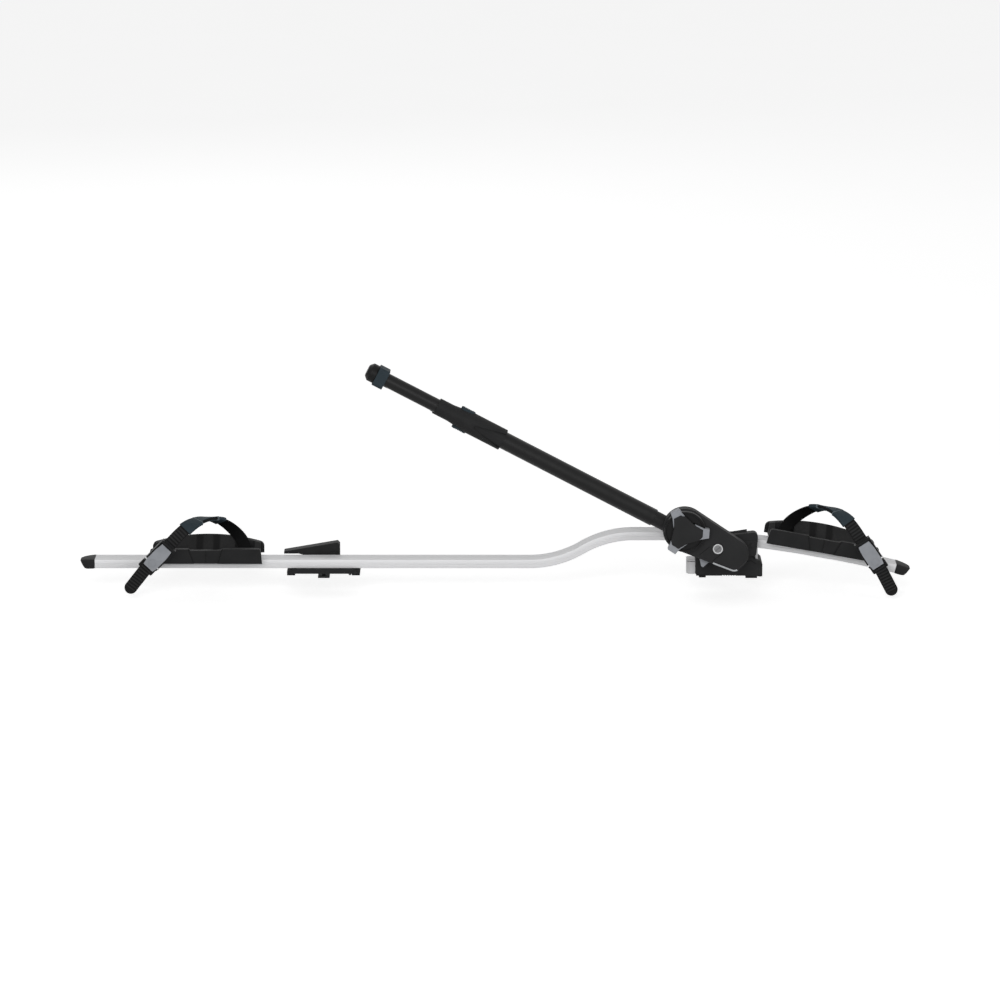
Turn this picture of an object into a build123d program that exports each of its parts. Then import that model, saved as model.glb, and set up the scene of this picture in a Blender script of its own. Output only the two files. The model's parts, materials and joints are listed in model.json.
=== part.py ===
from build123d import *
import math
import os

# Frame: X along the rail, +X towards the front wheel; -Y is the side with the knob; Z up.
# The origin is the centre of the front foot's seat on the load bar.

# Rail: one aluminium extrusion, bent up over the front bar and down towards the front wheel
rail_width = 38.0
rail_height = 15.5
rail_wall = 1.8
rail_corner = 1.6
rail_groove_width = 1.4
rail_groove_depth = 0.6
rail_groove_height = 3.2
rail_rear_end_x = -1110.0
rail_rear_underside_z = 11.5
s_bend_start_x = -344.0
s_bend_radius = 175.8
s_bend_turn = 30.8
crest_length = 79.0
crest_radius = 250.0
crest_turn = 4.8
nose_radius = 2310.0
nose_turn = 9.2

# End caps, pushed into the ends of the rail
cap_length = 26.0
cap_sleeve = 13.0
cap_slant = 9.0
cap_side_margin = 1.6
cap_top_margin = 1.2
cap_bottom_margin = 2.0
cap_edge_radius = 1.5
cap_plug_length = 14.0
cap_plug_clearance = 0.15
cap_rail_clearance = 0.1

# Wheel trays, alike on both ends of the rail
tray_length = 194.0
tray_rear_x = -903.0
tray_front_x = 157.6
tray_half_width = 51.0
tray_foot_half_width = 43.0
tray_near_height = 26.2
tray_far_height = 29.5
tray_far_end_height = 16.0
tray_skirt = 1.8
tray_wall = 3.2
tray_floor = 3.0
tray_floor_half_width = 12.0
tray_rail_gap = 0.3
tray_corner_radius = 5.0
tray_far_corner_radius = 9.0
tray_recess_top = 58.0
tray_recess_bottom = 40.0
tray_recess_depth = 1.3
tray_recess_drop = 3.0
tray_seam = 1.0
tray_lip_height = 2.0
tray_pad_width = 16.0
tray_pad_gap = 13.0
tray_pad_relief = 1.4
tray_pad_floor = 7.0
tray_slot_length = 34.0
tray_slot_width = 12.0
tray_end_notch = 6.0
tray_notch_half_width = 41.0
tray_clamp_length = 40.0
tray_clamp_thickness = 2.5
tray_clamp_leg = 3.0
tray_clamp_reach_y = -6.0
tray_screw_head_radius = 5.0
tray_screw_head = 2.5
tray_screw_drop = 8.0
tray_screw_spread = 20.0

# Wheel strap: a moulded ladder strap, with the rim protector threaded on its crown
strap_width = 24.0
strap_thickness = 2.4
strap_anchor_x = 64.0
strap_anchor_y = 30.0
strap_anchor_z = 4.5
strap_shoulder_x = 42.5
strap_shoulder_y = 20.0
strap_shoulder_z = 46.0
strap_crown_x = 8.0
strap_crown_y = -13.0
strap_crown_z = 71.5
strap_elbow_x = -31.0
strap_elbow_y = -50.0
strap_elbow_z = 64.0
strap_leg_steps = 18
strap_tail_length = 58.0
strap_tail_turn = 10.0
strap_tooth_pitch = 4.2
strap_tooth_height = 1.0
strap_tooth_width = 17.0
strap_tooth_length = 1.9
protector_wall = 1.7
protector_clearance = 0.3
protector_first_step = 8
protector_last_step = 14

# Ratchet buckle, on the outboard end of the tray's near wall
buckle_x = -82.6
buckle_z = 13.6
buckle_back_y = -55.0
buckle_lean = 45.8
buckle_base_length = 64.0
buckle_base_upper = 31.5
buckle_base_thickness = 2.5
buckle_cheek_thickness = 2.2
buckle_cheek_height = 12.5
buckle_cheek_upper = 31.5
buckle_cheek_lower = 17.0
buckle_strap_clearance = 0.7
buckle_bar_length = 5.0
buckle_boss_radius = 8.0
buckle_pin_radius = 2.0
buckle_pin_below = 11.7
buckle_pin_head = 1.2
buckle_pin_clearance = 0.05
lever_upper = 25.6
lever_lower = 21.4
lever_waist_above = 11.0
lever_end_width = 21.0
lever_thickness = 2.4
lever_side_gap = 0.4
lever_hub_radius = 3.6
lever_dimple_radius = 7.0
lever_dimple_depth = 1.0

# Arm: its pivot beside the rail, the tube that telescopes and the lean in which it is shown
arm_pivot_x = -5.0
arm_pivot_z = 44.0
arm_lean = 27.8
arm_rail_gap = 39.0
arm_y = -rail_width / 2 - arm_rail_gap
arm_tube_radius = 15.0
arm_tube_wall = 1.6
arm_tube_start = 143.0
arm_tube_end = 495.0
socket_start = 118.0
socket_neck_step = 1.8
socket_neck_radius = arm_tube_radius - socket_neck_step
socket_spigot_length = 34.0
tube_play = 1.4
inner_tube_radius = arm_tube_radius - arm_tube_wall - tube_play
inner_tube_wall = 1.5
inner_tube_start = 330.0
running_gap = 0.06
bush_length = 30.0
bush_wall = 1.3
bush_radius = inner_tube_radius + bush_wall

# Arm housing: two half shells round the pivot and the knob's spindle
housing_near_y = -85.0
housing_split_y = -62.0
housing_far_y = -43.0
housing_end_radius = 25.0
housing_end_back = 6.0
housing_end_up = 12.0
housing_heel_radius = 13.0
housing_heel_back = 14.0
housing_heel_down = 3.0
housing_edge = 3.0
housing_far_inset = 8.5
housing_knob_radius = 37.5
housing_screw_radius = 2.0
housing_screw_length = 14.0
housing_screw_spread = 22.0

# Knob that tightens the jaws, with its spindle
knob_along = 89.2
knob_above = 10.0
knob_radius = 35.3
knob_back_gap = 1.0
knob_thickness = 11.0
knob_recess = 3.0
knob_recess_radius = 32.0
knob_cap_thickness = 3.5
knob_cap_radius = 31.0
knob_cap_corner_radius = 27.3
knob_cap_corner_angle = 27.0
knob_cap_lobe_angle = 12.0
knob_cap_tip_radius = 20.2
knob_cap_tip_angle = 45.0
knob_lug_count = 3
knob_lug_first_angle = 24.0
knob_lug_radius = 41.5
knob_lug_inner_radius = 28.5
knob_lug_width = 15.6
knob_lug_rise = 2.2
knob_heel_along = 25.3
knob_heel_side = 11.8
knob_finger_along = 15.2
knob_finger_side = 14.9
knob_finger_width = 3.4
spindle_radius = 5.0
spindle_depth = 26.0
spindle_end_gap = 0.5

# Lock and release trigger in the housing
lock_along = 24.0
lock_above = 8.0
lock_radius = 8.6
lock_depth = 16.0
lock_proud = 1.2
lock_slot_width = 1.8
lock_slot_length = 9.0
lock_slot_depth = 1.5
trigger_along = 31.5
trigger_width = 12.0
trigger_length = 15.0
trigger_top = 8.0
trigger_tip = 35.5
trigger_rear_rise = 8.0
trigger_front_rise = 12.0
trigger_tip_inset = 4.4
trigger_tip_length = 4.0
trigger_travel = 4.0
trigger_clearance = 0.3

# Jaws: the lower one on the sleeve, the upper one on the inner tube's collar
sleeve_start = 436.0
sleeve_end = 563.0
sleeve_wall = 3.8
sleeve_radius = arm_tube_radius + sleeve_wall
sleeve_neck_wall = 1.3
sleeve_top_radius = bush_radius + sleeve_neck_wall
sleeve_flare_start = 500.0
sleeve_flare_end = 538.0
sleeve_panel_wall = 1.4
sleeve_panel_radius = arm_tube_radius + sleeve_panel_wall
sleeve_panel_start = 492.0
sleeve_panel_tip_half = 3.0
sleeve_panel_end_half = 14.0
button_along = 512.0
button_length = 26.0
button_width = 11.0
button_rise = 5.6
button_height = sleeve_top_radius + button_rise
button_floor_gap = 0.1
button_floor = bush_radius + button_floor_gap
button_travel = 1.6
button_clearance = 0.3
button_rib_count = 5
button_rib = 1.2
button_rib_depth = 0.8
collar_start = 661.5
collar_end = 680.0
collar_margin = 5.0
collar_half = inner_tube_radius + collar_margin
collar_corner_radius = 5.0
tip_cap_end = 697.0
tip_cap_margin = 4.0
tip_cap_radius = inner_tube_radius + tip_cap_margin
tip_cap_taper = 6.0
tip_plug_length = 15.0
jaw_face_lower = 568.0
jaw_face_upper = 652.0
jaw_back_lower = 536.0
jaw_thickness = 15.0
jaw_low = -15.0
jaw_high = -5.0
jaw_root_depth = 1.0
jaw_root_y = arm_y + inner_tube_radius - jaw_root_depth
jaw_reach_y = 24.0
jaw_finger = 7.0
jaw_finger_length = 13.0
jaw_heel = 4.0
jaw_heel_length = 14.0
jaw_nose_radius = 3.0
jaw_pad_thickness = 3.0
jaw_pad_rib_count = 7
jaw_pad_rib_depth = 1.0

# Front foot on the load bar
foot_left_x = -58.0
foot_right_x = 55.0
foot_side_margin = 8.0
foot_half_width = rail_width / 2 + foot_side_margin
foot_height = 36.0
foot_shoulder_height = 24.0
foot_shoulder_length = 22.0
foot_wall = 2.5
foot_corner_radius = 5.0
foot_pad_height = 4.0
foot_pad_margin = 1.5
foot_pad_rib_count = 6
foot_pad_rib = 2.0
foot_pad_rib_pitch = 4.2
foot_pad_rib_depth = 1.2
casting_left_x = -73.0
casting_right_x = 50.0
casting_half_width = 16.0
casting_nose_top = 25.5
casting_nose_radius = 9.0
casting_nose_low = 0.8
casting_slit = 1.2
casting_slit_z = 22.4
casting_slit_length = 22.0
casting_rail_gap = 0.2
casting_shoulder_x = -52.0
bolt_radius = 3.0
bolt_clearance = 0.1
t_head_length = 20.0
t_head_width = 20.0
t_head_thickness = 4.0
t_head_drop = 4.0
locator_x = -45.0
locator_head_length = 12.0
locator_drop = 4.0

# Hub bracket and pivot pin that carry the arm
bracket_near_y = -40.0
bracket_plate = 6.0
bracket_boss_radius = 17.0
bracket_foot_length = 70.0
pivot_pin_radius = 8.0
pivot_pin_near_y = -80.0
bracket_cover_gap = 0.5

# Front clamp: an ear beside the rail, the lever on its near side and a T-bolt on a yoke below
clamp_x = 39.7
clamp_z = 57.0
clamp_pin_radius = 5.2
clamp_pin_proud = 0.6
ear_rail_gap = 0.3
ear_inner = rail_width / 2 + ear_rail_gap
ear_thickness = 3.0
ear_radius = 8.5
ear_half_width = 5.5
ear_foot_z = 30.0
ear_foot_top = 46.0
lever_gap = 0.4
lever_width = 17.5
front_lever_tip_x = -50.0
front_lever_tip_z = 66.0
front_lever_tip_thickness = 4.0
front_lever_end_x = 48.5
front_lever_top_z = 81.0
front_lever_round = 8.0
front_lever_foot_round = 3.5
front_lever_low_z = 38.5
front_lever_foot_x = 32.5
front_lever_foot_end_x = 45.5
front_lever_side_z = 66.0
front_lever_waist_z = 47.0
front_lever_rib = 3.5
front_lever_rib_width = 4.0
front_lever_rib_start_x = -10.0
front_lever_rib_end_x = 30.0
front_lever_seam = 0.8
front_lever_seam_depth = 0.6
front_lever_belly_x = 18.0
front_lever_belly_z = 64.0
yoke_half_width = 13.5
yoke_length = 12.0
yoke_thickness = 6.0
yoke_top_gap = 4.5
clamp_travel = 3.0

# Rear clamp on the rear load bar
rear_clamp_x = -701.0
rear_plate_length = 126.0
rear_plate_margin = 5.0
rear_plate_half_width = rail_width / 2 + rear_plate_margin
rear_plate_end_height = 7.0
rear_pad_height = 3.0
rear_foot_length = 14.0
rear_screw_radius = 2.6
rear_screw_head = 2.0
rear_screw_spread = 8.5
rear_screw_rise = 1.8
rear_screw_z = 3.4
rear_lever_pivot_x = -684.0
rear_lever_pivot_z = 22.0
rear_lever_pin_radius = 4.0
rear_ear_gap = 2.0
rear_ear_inner = rail_width / 2 + rear_ear_gap
rear_ear_thickness = 3.5
rear_ear_radius = 9.0
rear_lever_gap = 0.5
rear_lever_inner = rear_ear_inner + rear_ear_thickness + rear_lever_gap
rear_lever_width = 20.0
rear_lever_outer = rear_lever_inner + rear_lever_width
rear_lever_tip_x = -771.0
rear_lever_end_x = -674.0
rear_lever_tip_z = 27.0
rear_lever_top_z = 47.0
rear_lever_low_z = 12.0
rear_lever_tip_thickness = 4.0
rear_lever_finger_length = 26.0
rear_yoke_length = 30.0
rear_yoke_half_width = 13.0
rear_yoke_thickness = 3.0
rear_yoke_z = 7.6

overrun = 40.0
side_reach = 120.0


def across(sketch, near_y, far_y):
    """Solid from a side-view sketch, between two places across the rail."""
    return Pos(0, far_y, 0) * extrude(Plane.XZ * sketch, far_y - near_y)


def rod(radius, x, z, near_y, far_y):
    """Round rod across the rail."""
    return across(Pos(x, z) * Circle(radius), near_y, far_y)


def upright(radius, x, y, low_z, high_z):
    """Round rod standing up."""
    return Pos(x, y, low_z) * extrude(Circle(radius), high_z - low_z)


def block(x_from, x_to, y_from, y_to, z_from, z_to):
    """Box between two corners."""
    middle = Pos((x_from + x_to) / 2, (y_from + y_to) / 2)
    base = middle * Rectangle(x_to - x_from, y_to - y_from)
    return Pos(0, 0, z_from) * extrude(base, z_to - z_from)


def outline(*points):
    """Closed face through points of a side view."""
    return make_face(Polyline(*points, close=True))


def along_arm(sketch, start, end):
    """Solid along the arm's tube, from a sketch across it; the arm lies folded, towards -X."""
    return Pos(-end, arm_y, 0) * extrude(Plane.YZ * sketch, end - start)


def arm_box(start, end, near_y, far_y, low, high):
    """Box in the folded arm's own places."""
    return block(-end, -start, near_y, far_y, low, high)


def on_arm(solid):
    """Carries a piece from the folded arm's own places to the arm as it stands."""
    return Pos(arm_pivot_x, 0, arm_pivot_z) * Rot(0, arm_lean, 0) * solid


# Rail and its course


def rail_course():
    """Stretches of the rail's centre line as (length or radius, turn); a turn of zero is straight."""
    return [
        (s_bend_start_x - rail_rear_end_x, 0),
        (s_bend_radius, s_bend_turn),
        (s_bend_radius, -s_bend_turn),
        (crest_length, 0),
        (crest_radius, -crest_turn),
        (nose_radius, -nose_turn),
    ]


def step(x, z, heading, size, turn):
    """End of one stretch that starts at x, z with a heading in degrees."""
    start = math.radians(heading)
    end = math.radians(heading + turn)
    if turn == 0:
        return x + size * math.cos(start), z + size * math.sin(start), heading
    side = math.copysign(size, turn)
    x += side * (math.sin(end) - math.sin(start))
    z += side * (math.cos(start) - math.cos(end))
    return x, z, heading + turn


def along_rail(section, above=0.0):
    """Solid along the whole rail: a run is extruded and a bend is revolved about its centre."""
    place = (rail_rear_end_x, rail_rear_underside_z + rail_height / 2, 0.0)
    solid = Part()
    for size, turn in rail_course():
        x, z, heading = place
        lean = math.radians(heading)
        up = Vector(-math.sin(lean), 0, math.cos(lean))
        ahead = Vector(math.cos(lean), 0, math.sin(lean))
        start = Plane(origin=Vector(x, 0, z) + up * above, x_dir=(0, 1, 0), z_dir=ahead)
        if turn == 0:
            solid += extrude(start * section, size)
        else:
            side = math.copysign(1, turn)
            centre = Vector(x, 0, z) + up * (side * size)
            solid += revolve(start * section, Axis(centre, (0, -side, 0)), abs(turn))
        place = step(*place, size, turn)
    return solid


def rail_end():
    """Place and heading of the rail's front end."""
    place = (rail_rear_end_x, rail_rear_underside_z + rail_height / 2, 0.0)
    for size, turn in rail_course():
        place = step(*place, size, turn)
    return place


def rail_at(x_wanted):
    """Height and heading of the centre line at a place along the nose of the rail."""
    end_x, end_z, end_heading = rail_end()
    centre_x = end_x + nose_radius * math.sin(math.radians(end_heading))
    centre_z = end_z - nose_radius * math.cos(math.radians(end_heading))
    lean = math.asin((x_wanted - centre_x) / nose_radius)
    return centre_z + nose_radius * math.cos(lean), -math.degrees(lean)


def rail():
    """Hollow rail, swept along its course, with a fine groove low on each side."""
    section = Rectangle(rail_width, rail_height)
    section = chamfer(section.vertices(), rail_corner)
    section -= Rectangle(rail_width - 2 * rail_wall, rail_height - 2 * rail_wall)
    for side in (-1, 1):
        for level in (-1, 1):
            groove = Rectangle(2 * rail_groove_depth, rail_groove_width)
            section -= Pos(side * rail_width / 2, level * rail_groove_height / 2) * groove
    return along_rail(section)


def end_cap():
    """Cap in its own frame: the rail's end face at zero, the rail behind it towards +X."""
    half = rail_height / 2
    bottom = -half - cap_bottom_margin
    top = half + cap_top_margin
    nose = cap_length - cap_sleeve
    side = outline((cap_sleeve, bottom), (cap_sleeve, top), (-nose, top), (cap_slant - nose, bottom))
    width = rail_width / 2 + cap_side_margin
    cap = across(side, -width, width)
    cap = fillet(cap.edges().filter_by(Axis.Y), cap_edge_radius)
    pocket_half = rail_width / 2 + cap_rail_clearance
    pocket_height = half + cap_rail_clearance
    cap -= block(0, cap_sleeve, -pocket_half, pocket_half, -pocket_height, pocket_height)
    plug_inset = rail_wall + cap_plug_clearance
    plug = Rectangle(rail_width - 2 * plug_inset, rail_height - 2 * plug_inset)
    return cap + extrude(Plane.YZ * plug, cap_plug_length)


def rear_end_cap():
    return Pos(rail_rear_end_x, 0, rail_rear_underside_z + rail_height / 2) * end_cap()


def front_end_cap():
    x, z, heading = rail_end()
    return Pos(x, 0, z) * Rot(0, -heading, 0) * mirror(end_cap(), Plane.YZ)


# Wheel tray, drawn in its own frame: centre of the rail's top face at zero, outboard towards -X


def tray_section():
    """Section across the tray: two leaning walls with a V-shaped bed between them."""
    top = max(tray_near_height, tray_far_height)
    lean = (tray_half_width - tray_foot_half_width) / (tray_near_height + tray_skirt)
    top_half = tray_foot_half_width + lean * (top + tray_skirt)
    inner_half = top_half - tray_wall
    rail_half = rail_width / 2 + tray_rail_gap
    return outline(
        (-top_half, top),
        (-tray_foot_half_width, -tray_skirt),
        (-rail_half, -tray_skirt),
        (-rail_half, tray_rail_gap),
        (rail_half, tray_rail_gap),
        (rail_half, -tray_skirt),
        (tray_foot_half_width, -tray_skirt),
        (top_half, top),
        (inner_half, top),
        (tray_floor_half_width, tray_floor),
        (-tray_floor_half_width, tray_floor),
        (-inner_half, top),
    )


def wall_slope():
    """Sideways run of a wall's outer face for each unit of height."""
    return (tray_half_width - tray_foot_half_width) / (tray_near_height + tray_skirt)


def near_wall_outline():
    """Side view of the near wall, lower along the middle recess."""
    half = tray_length / 2
    low = tray_near_height - tray_recess_drop
    face = outline(
        (-half, -tray_skirt),
        (half, -tray_skirt),
        (half - tray_lip_height, tray_near_height),
        (tray_recess_top / 2, tray_near_height),
        (tray_recess_top / 2 - tray_recess_drop, low),
        (tray_recess_drop - tray_recess_top / 2, low),
        (-tray_recess_top / 2, tray_near_height),
        (tray_lip_height - half, tray_near_height),
    )
    top_corners = face.vertices().sort_by(Axis.Y)[-4:].sort_by(Axis.X)
    return fillet([top_corners[0], top_corners[-1]], tray_corner_radius)


def far_wall_outline():
    """Side view of the far wall: its top edge is a long arc with rounded ends."""
    half = tray_length / 2
    base = Polyline(
        (-half, tray_far_end_height), (-half, -tray_skirt), (half, -tray_skirt), (half, tray_far_end_height)
    )
    crown = ThreePointArc((half, tray_far_end_height), (0, tray_far_height), (-half, tray_far_end_height))
    face = make_face(base + crown)
    corners = face.vertices().sort_by(Axis.Y)[-2:]
    return fillet(corners, tray_far_corner_radius)


def wall_relief():
    """Side view of the two ribbed gaps beside each middle pad, cut into the bed."""
    centre = (tray_pad_width + tray_pad_gap) / 2
    height = tray_far_height - tray_pad_floor + overrun
    gaps = Sketch()
    for side in (-1, 1):
        place = Pos(side * centre, tray_pad_floor + height / 2)
        gaps += place * Rectangle(tray_pad_gap, height)
    return gaps


def bed_layer(relief):
    """The V-shaped bed's surface layer, as thick as the relief between the pads."""
    top = max(tray_near_height, tray_far_height)
    inner = tray_foot_half_width + wall_slope() * (top + tray_skirt) - tray_wall
    section = outline(
        (-inner, top),
        (-tray_floor_half_width, tray_floor),
        (-tray_floor_half_width - relief, tray_floor),
        (-inner - relief, top),
    )
    section += mirror(section, Plane.YZ)
    return extrude(Plane.YZ * section, tray_length / 2, both=True)


def outer_layer(depth):
    """The near wall's outer surface layer."""
    top = tray_near_height + tray_skirt
    bottom_y = -tray_foot_half_width
    top_y = bottom_y - wall_slope() * top
    section = outline(
        (bottom_y, -tray_skirt),
        (top_y, tray_near_height),
        (top_y + depth, tray_near_height),
        (bottom_y + depth, -tray_skirt),
    )
    return extrude(Plane.YZ * section, tray_length, both=True)


def recess_outline():
    """The trapezoid recess in the middle of the near wall's outer face."""
    top = tray_near_height
    return outline(
        (-tray_recess_top / 2, top),
        (-tray_recess_bottom / 2, -tray_skirt),
        (tray_recess_bottom / 2, -tray_skirt),
        (tray_recess_top / 2, top),
    )


def tray():
    """Moulded wheel tray."""
    body = extrude(Plane.YZ * tray_section(), tray_length / 2, both=True)
    near = across(near_wall_outline(), -side_reach, 0)
    far = across(far_wall_outline(), 0, side_reach)
    body = body & (near + far)
    body -= across(wall_relief(), -side_reach, side_reach) & bed_layer(tray_pad_relief)
    seam = Pos(0, tray_near_height / 2) * Rectangle(tray_seam, tray_near_height + tray_skirt)
    recess = across(recess_outline(), -side_reach, 0) & outer_layer(tray_recess_depth)
    groove = across(seam, -side_reach, 0) & outer_layer(2 * tray_recess_depth)
    body -= recess + groove
    slot_from = strap_anchor_x - tray_slot_length / 2
    slot_to = strap_anchor_x + tray_slot_length / 2
    slot_y = strap_anchor_y - tray_slot_width / 2
    body -= block(slot_from, slot_to, slot_y, slot_y + tray_slot_width, strap_anchor_z, overrun)
    bed_end = tray_length / 2 - tray_end_notch
    for x_from, x_to in ((-tray_length, -bed_end), (bed_end, tray_length)):
        body -= block(x_from, x_to, -tray_notch_half_width, tray_notch_half_width, -overrun, overrun)
    return body


def tray_clamp():
    """Hook on the far side of the rail that holds the tray down and lets it slide."""
    half = rail_width / 2 + tray_rail_gap
    seat = -rail_height - tray_rail_gap
    low = seat - tray_clamp_thickness
    outer = half + tray_clamp_leg
    section = outline(
        (tray_clamp_reach_y, seat),
        (tray_clamp_reach_y, low),
        (outer, low),
        (outer, -tray_skirt),
        (half, -tray_skirt),
        (half, seat),
    )
    return extrude(Plane.YZ * section, tray_clamp_length / 2, both=True)


def tray_screws():
    """Screw heads on the hook's far side."""
    face = rail_width / 2 + tray_rail_gap + tray_clamp_leg
    heads = Part()
    for side in (-1, 1):
        x = side * tray_screw_spread / 2
        heads += rod(tray_screw_head_radius, x, -tray_screw_drop, face, face + tray_screw_head)
    return heads


# Wheel strap, in the tray's frame


def buckle_plane():
    """The buckle's own plane: X down along the strap, Z out towards the user."""
    lean = math.radians(buckle_lean)
    return Plane(
        origin=(buckle_x, buckle_back_y, buckle_z),
        x_dir=(-math.cos(lean), 0, -math.sin(lean)),
        z_dir=(0, -1, 0),
    )


def strap_level():
    """Height of the strap's middle plane above the buckle's back."""
    return buckle_base_thickness + buckle_strap_clearance + strap_thickness / 2


def strap_course():
    """Middle line of the strap from its anchor, over the wheel rim, to the buckle's mouth."""
    plane = buckle_plane()
    mouth = plane.from_local_coords((-buckle_base_length / 2, 0, strap_level()))
    anchor = (strap_anchor_x, strap_anchor_y, strap_anchor_z)
    shoulder = (strap_shoulder_x, strap_shoulder_y, strap_shoulder_z)
    crown = (strap_crown_x, strap_crown_y, strap_crown_z)
    elbow = (strap_elbow_x, strap_elbow_y, strap_elbow_z)
    return Spline(anchor, shoulder, crown, elbow, mouth, tangents=((0, 0, 1), plane.x_dir))


def strap_places(first, last):
    """Places and directions at the stations of the strap's middle line."""
    course = strap_course()
    shares = [index / strap_leg_steps for index in range(first, last + 1)]
    return [(course @ share, course % share) for share in shares]


def strap_section(point, tangent, width, thickness):
    """Flat section square to the strap, its width as near the rail's direction as it can be."""
    along = tangent.normalized()
    level = Vector(1, 0, 0)
    wide = level - along * along.dot(level)
    return Plane(origin=point, x_dir=wide, z_dir=along) * Rectangle(width, thickness)


def ribbon(places, width, thickness):
    """Ribbon lofted through sections at places along the strap."""
    sections = [strap_section(point, along, width, thickness) for point, along in places]
    return loft(sections, ruled=True)


def strap():
    """Whole strap: the leg over the rim, the straight run through the buckle, the tail and its teeth."""
    leg = ribbon(strap_places(0, strap_leg_steps), strap_width, strap_thickness)
    plane = buckle_plane()
    half = buckle_base_length / 2
    turn = math.radians(strap_tail_turn)
    tip = strap_width / 2
    run = outline((-half, tip), (half, tip), (half, -tip), (-half, -tip))
    reach = strap_tail_length - tip
    tail = Pos(half + reach / 2 * math.cos(turn), reach / 2 * math.sin(turn)) * Rot(0, 0, strap_tail_turn)
    tail = tail * Rectangle(reach, strap_width)
    end = Pos(half + reach * math.cos(turn), reach * math.sin(turn)) * Circle(tip)
    elbow = Pos(half, 0) * Circle(tip)
    flat = run + tail + end + elbow
    flat = extrude(flat, strap_thickness / 2, both=True)
    tooth_rise = strap_thickness / 2 + strap_tooth_height
    tooth_run = half + reach - buckle_bar_length
    for index in range(round((tooth_run + half) / strap_tooth_pitch)):
        along = index * strap_tooth_pitch - half
        tooth = block(0, strap_tooth_length, -strap_tooth_width / 2, strap_tooth_width / 2, 0, tooth_rise)
        beyond = max(along - half, 0)
        bend = Rot(0, 0, strap_tail_turn if beyond > 0 else 0)
        flat += Pos(min(along, half), 0, 0) * bend * Pos(beyond, 0, 0) * tooth
    return leg + plane.location * Pos(0, 0, strap_level()) * flat


def rim_protector():
    """Rubber sleeve threaded on the strap's crown."""
    places = strap_places(protector_first_step, protector_last_step)
    gap = 2 * protector_clearance
    wall = 2 * protector_wall
    sleeve = ribbon(places, strap_width + gap + wall, strap_thickness + gap + wall)
    return sleeve - ribbon(places, strap_width + gap, strap_thickness + gap)


def buckle_pieces():
    """Frame, pin and lever of the ratchet buckle."""
    plane = buckle_plane()
    inner = strap_width / 2 + buckle_strap_clearance
    outer = inner + buckle_cheek_thickness
    half = buckle_base_length / 2
    base = block(-buckle_base_upper, half, -outer, outer, 0, buckle_base_thickness)
    base = fillet(base.edges().filter_by(Axis.Z), buckle_cheek_thickness)
    for side in (-1, 1):
        y_from = side * (inner + outer) / 2 - buckle_cheek_thickness / 2
        y_to = y_from + buckle_cheek_thickness
        cheek = block(-buckle_cheek_upper, buckle_cheek_lower, y_from, y_to, 0, buckle_cheek_height)
        base += chamfer(cheek.edges().filter_by(Axis.Y).group_by(Axis.Z)[-1], buckle_cheek_thickness)
    bar_low = strap_level() + strap_thickness / 2 + strap_tooth_height + buckle_strap_clearance
    bar_end = buckle_bar_length - buckle_cheek_upper
    base += block(-buckle_cheek_upper, bar_end, -outer, outer, bar_low, bar_low + buckle_bar_length)
    boss_end = -(tray_foot_half_width + wall_slope() * (buckle_z + tray_skirt)) - buckle_back_y
    base += upright(buckle_boss_radius, 0, 0, -boss_end, 0)
    pin_high = bar_low + lever_hub_radius
    hole = buckle_pin_radius
    pin_axis = Pos(buckle_pin_below, pin_high)
    pin = across(pin_axis * Circle(hole), -outer - buckle_pin_head, outer + buckle_pin_head)
    base -= across(pin_axis * Circle(hole), -side_reach, side_reach)
    plate_low = pin_high + lever_hub_radius - lever_thickness
    lever_half = inner - lever_side_gap
    shape = outline(
        (-lever_upper, lever_end_width / 2),
        (-lever_waist_above, lever_half),
        (buckle_pin_below, lever_half),
        (lever_lower, lever_end_width / 2),
        (lever_lower, -lever_end_width / 2),
        (buckle_pin_below, -lever_half),
        (-lever_waist_above, -lever_half),
        (-lever_upper, -lever_end_width / 2),
    )
    lever = Pos(0, 0, plate_low) * extrude(shape, lever_thickness)
    hub = across(pin_axis * Circle(lever_hub_radius), -lever_half, lever_half)
    lever += hub
    dimple = upright(lever_dimple_radius, buckle_pin_below, 0, 0, lever_dimple_depth)
    lever -= Pos(0, 0, plate_low + lever_thickness - lever_dimple_depth) * dimple
    lever -= across(pin_axis * Circle(hole + buckle_pin_clearance), -side_reach, side_reach)
    frame, pin, lever = [plane.location * piece for piece in (base, pin, lever)]
    return frame - outer_layer(tray_wall + overrun), pin, lever


# Arm, drawn folded along -X from its pivot


def housing_outline(inset=0.0):
    """Side view of the arm's housing: a drop round the knob that narrows to the pivot."""
    places = [
        (-knob_along, knob_above, housing_knob_radius),
        (housing_end_back, housing_end_up, housing_end_radius),
        (housing_heel_back, -housing_heel_down, housing_heel_radius),
    ]
    edges = []
    for x, z, radius in places:
        edges += (Pos(x, z) * CenterArc((0, 0), radius - inset, 0, 360)).edges()
    return make_hull(edges)


def tube_channel():
    """Room in the housing for the neck of the arm."""
    return along_arm(Circle(socket_neck_radius), socket_start, knob_along + side_reach)


def pivot_bore():
    """Blind bore for the pivot pin, open on the far side."""
    near = pivot_pin_near_y - bracket_cover_gap
    return rod(pivot_pin_radius + running_gap, 0, 0, near, side_reach)


def spindle_bore():
    """Blind bore for the knob's spindle."""
    far = housing_near_y + spindle_depth + spindle_end_gap
    return rod(spindle_radius + running_gap, -knob_along, knob_above, housing_near_y, far)


def trigger_slot():
    """Slot in the housing's underside for the release trigger."""
    gap = trigger_clearance
    middle = (housing_near_y + housing_far_y) / 2
    half = trigger_width / 2 + gap
    top = trigger_travel + gap - trigger_top
    start = trigger_along - trigger_length / 2 - gap
    end = trigger_along + trigger_length / 2 + gap
    return arm_box(start, end, middle - half, middle + half, -overrun, top)


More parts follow.
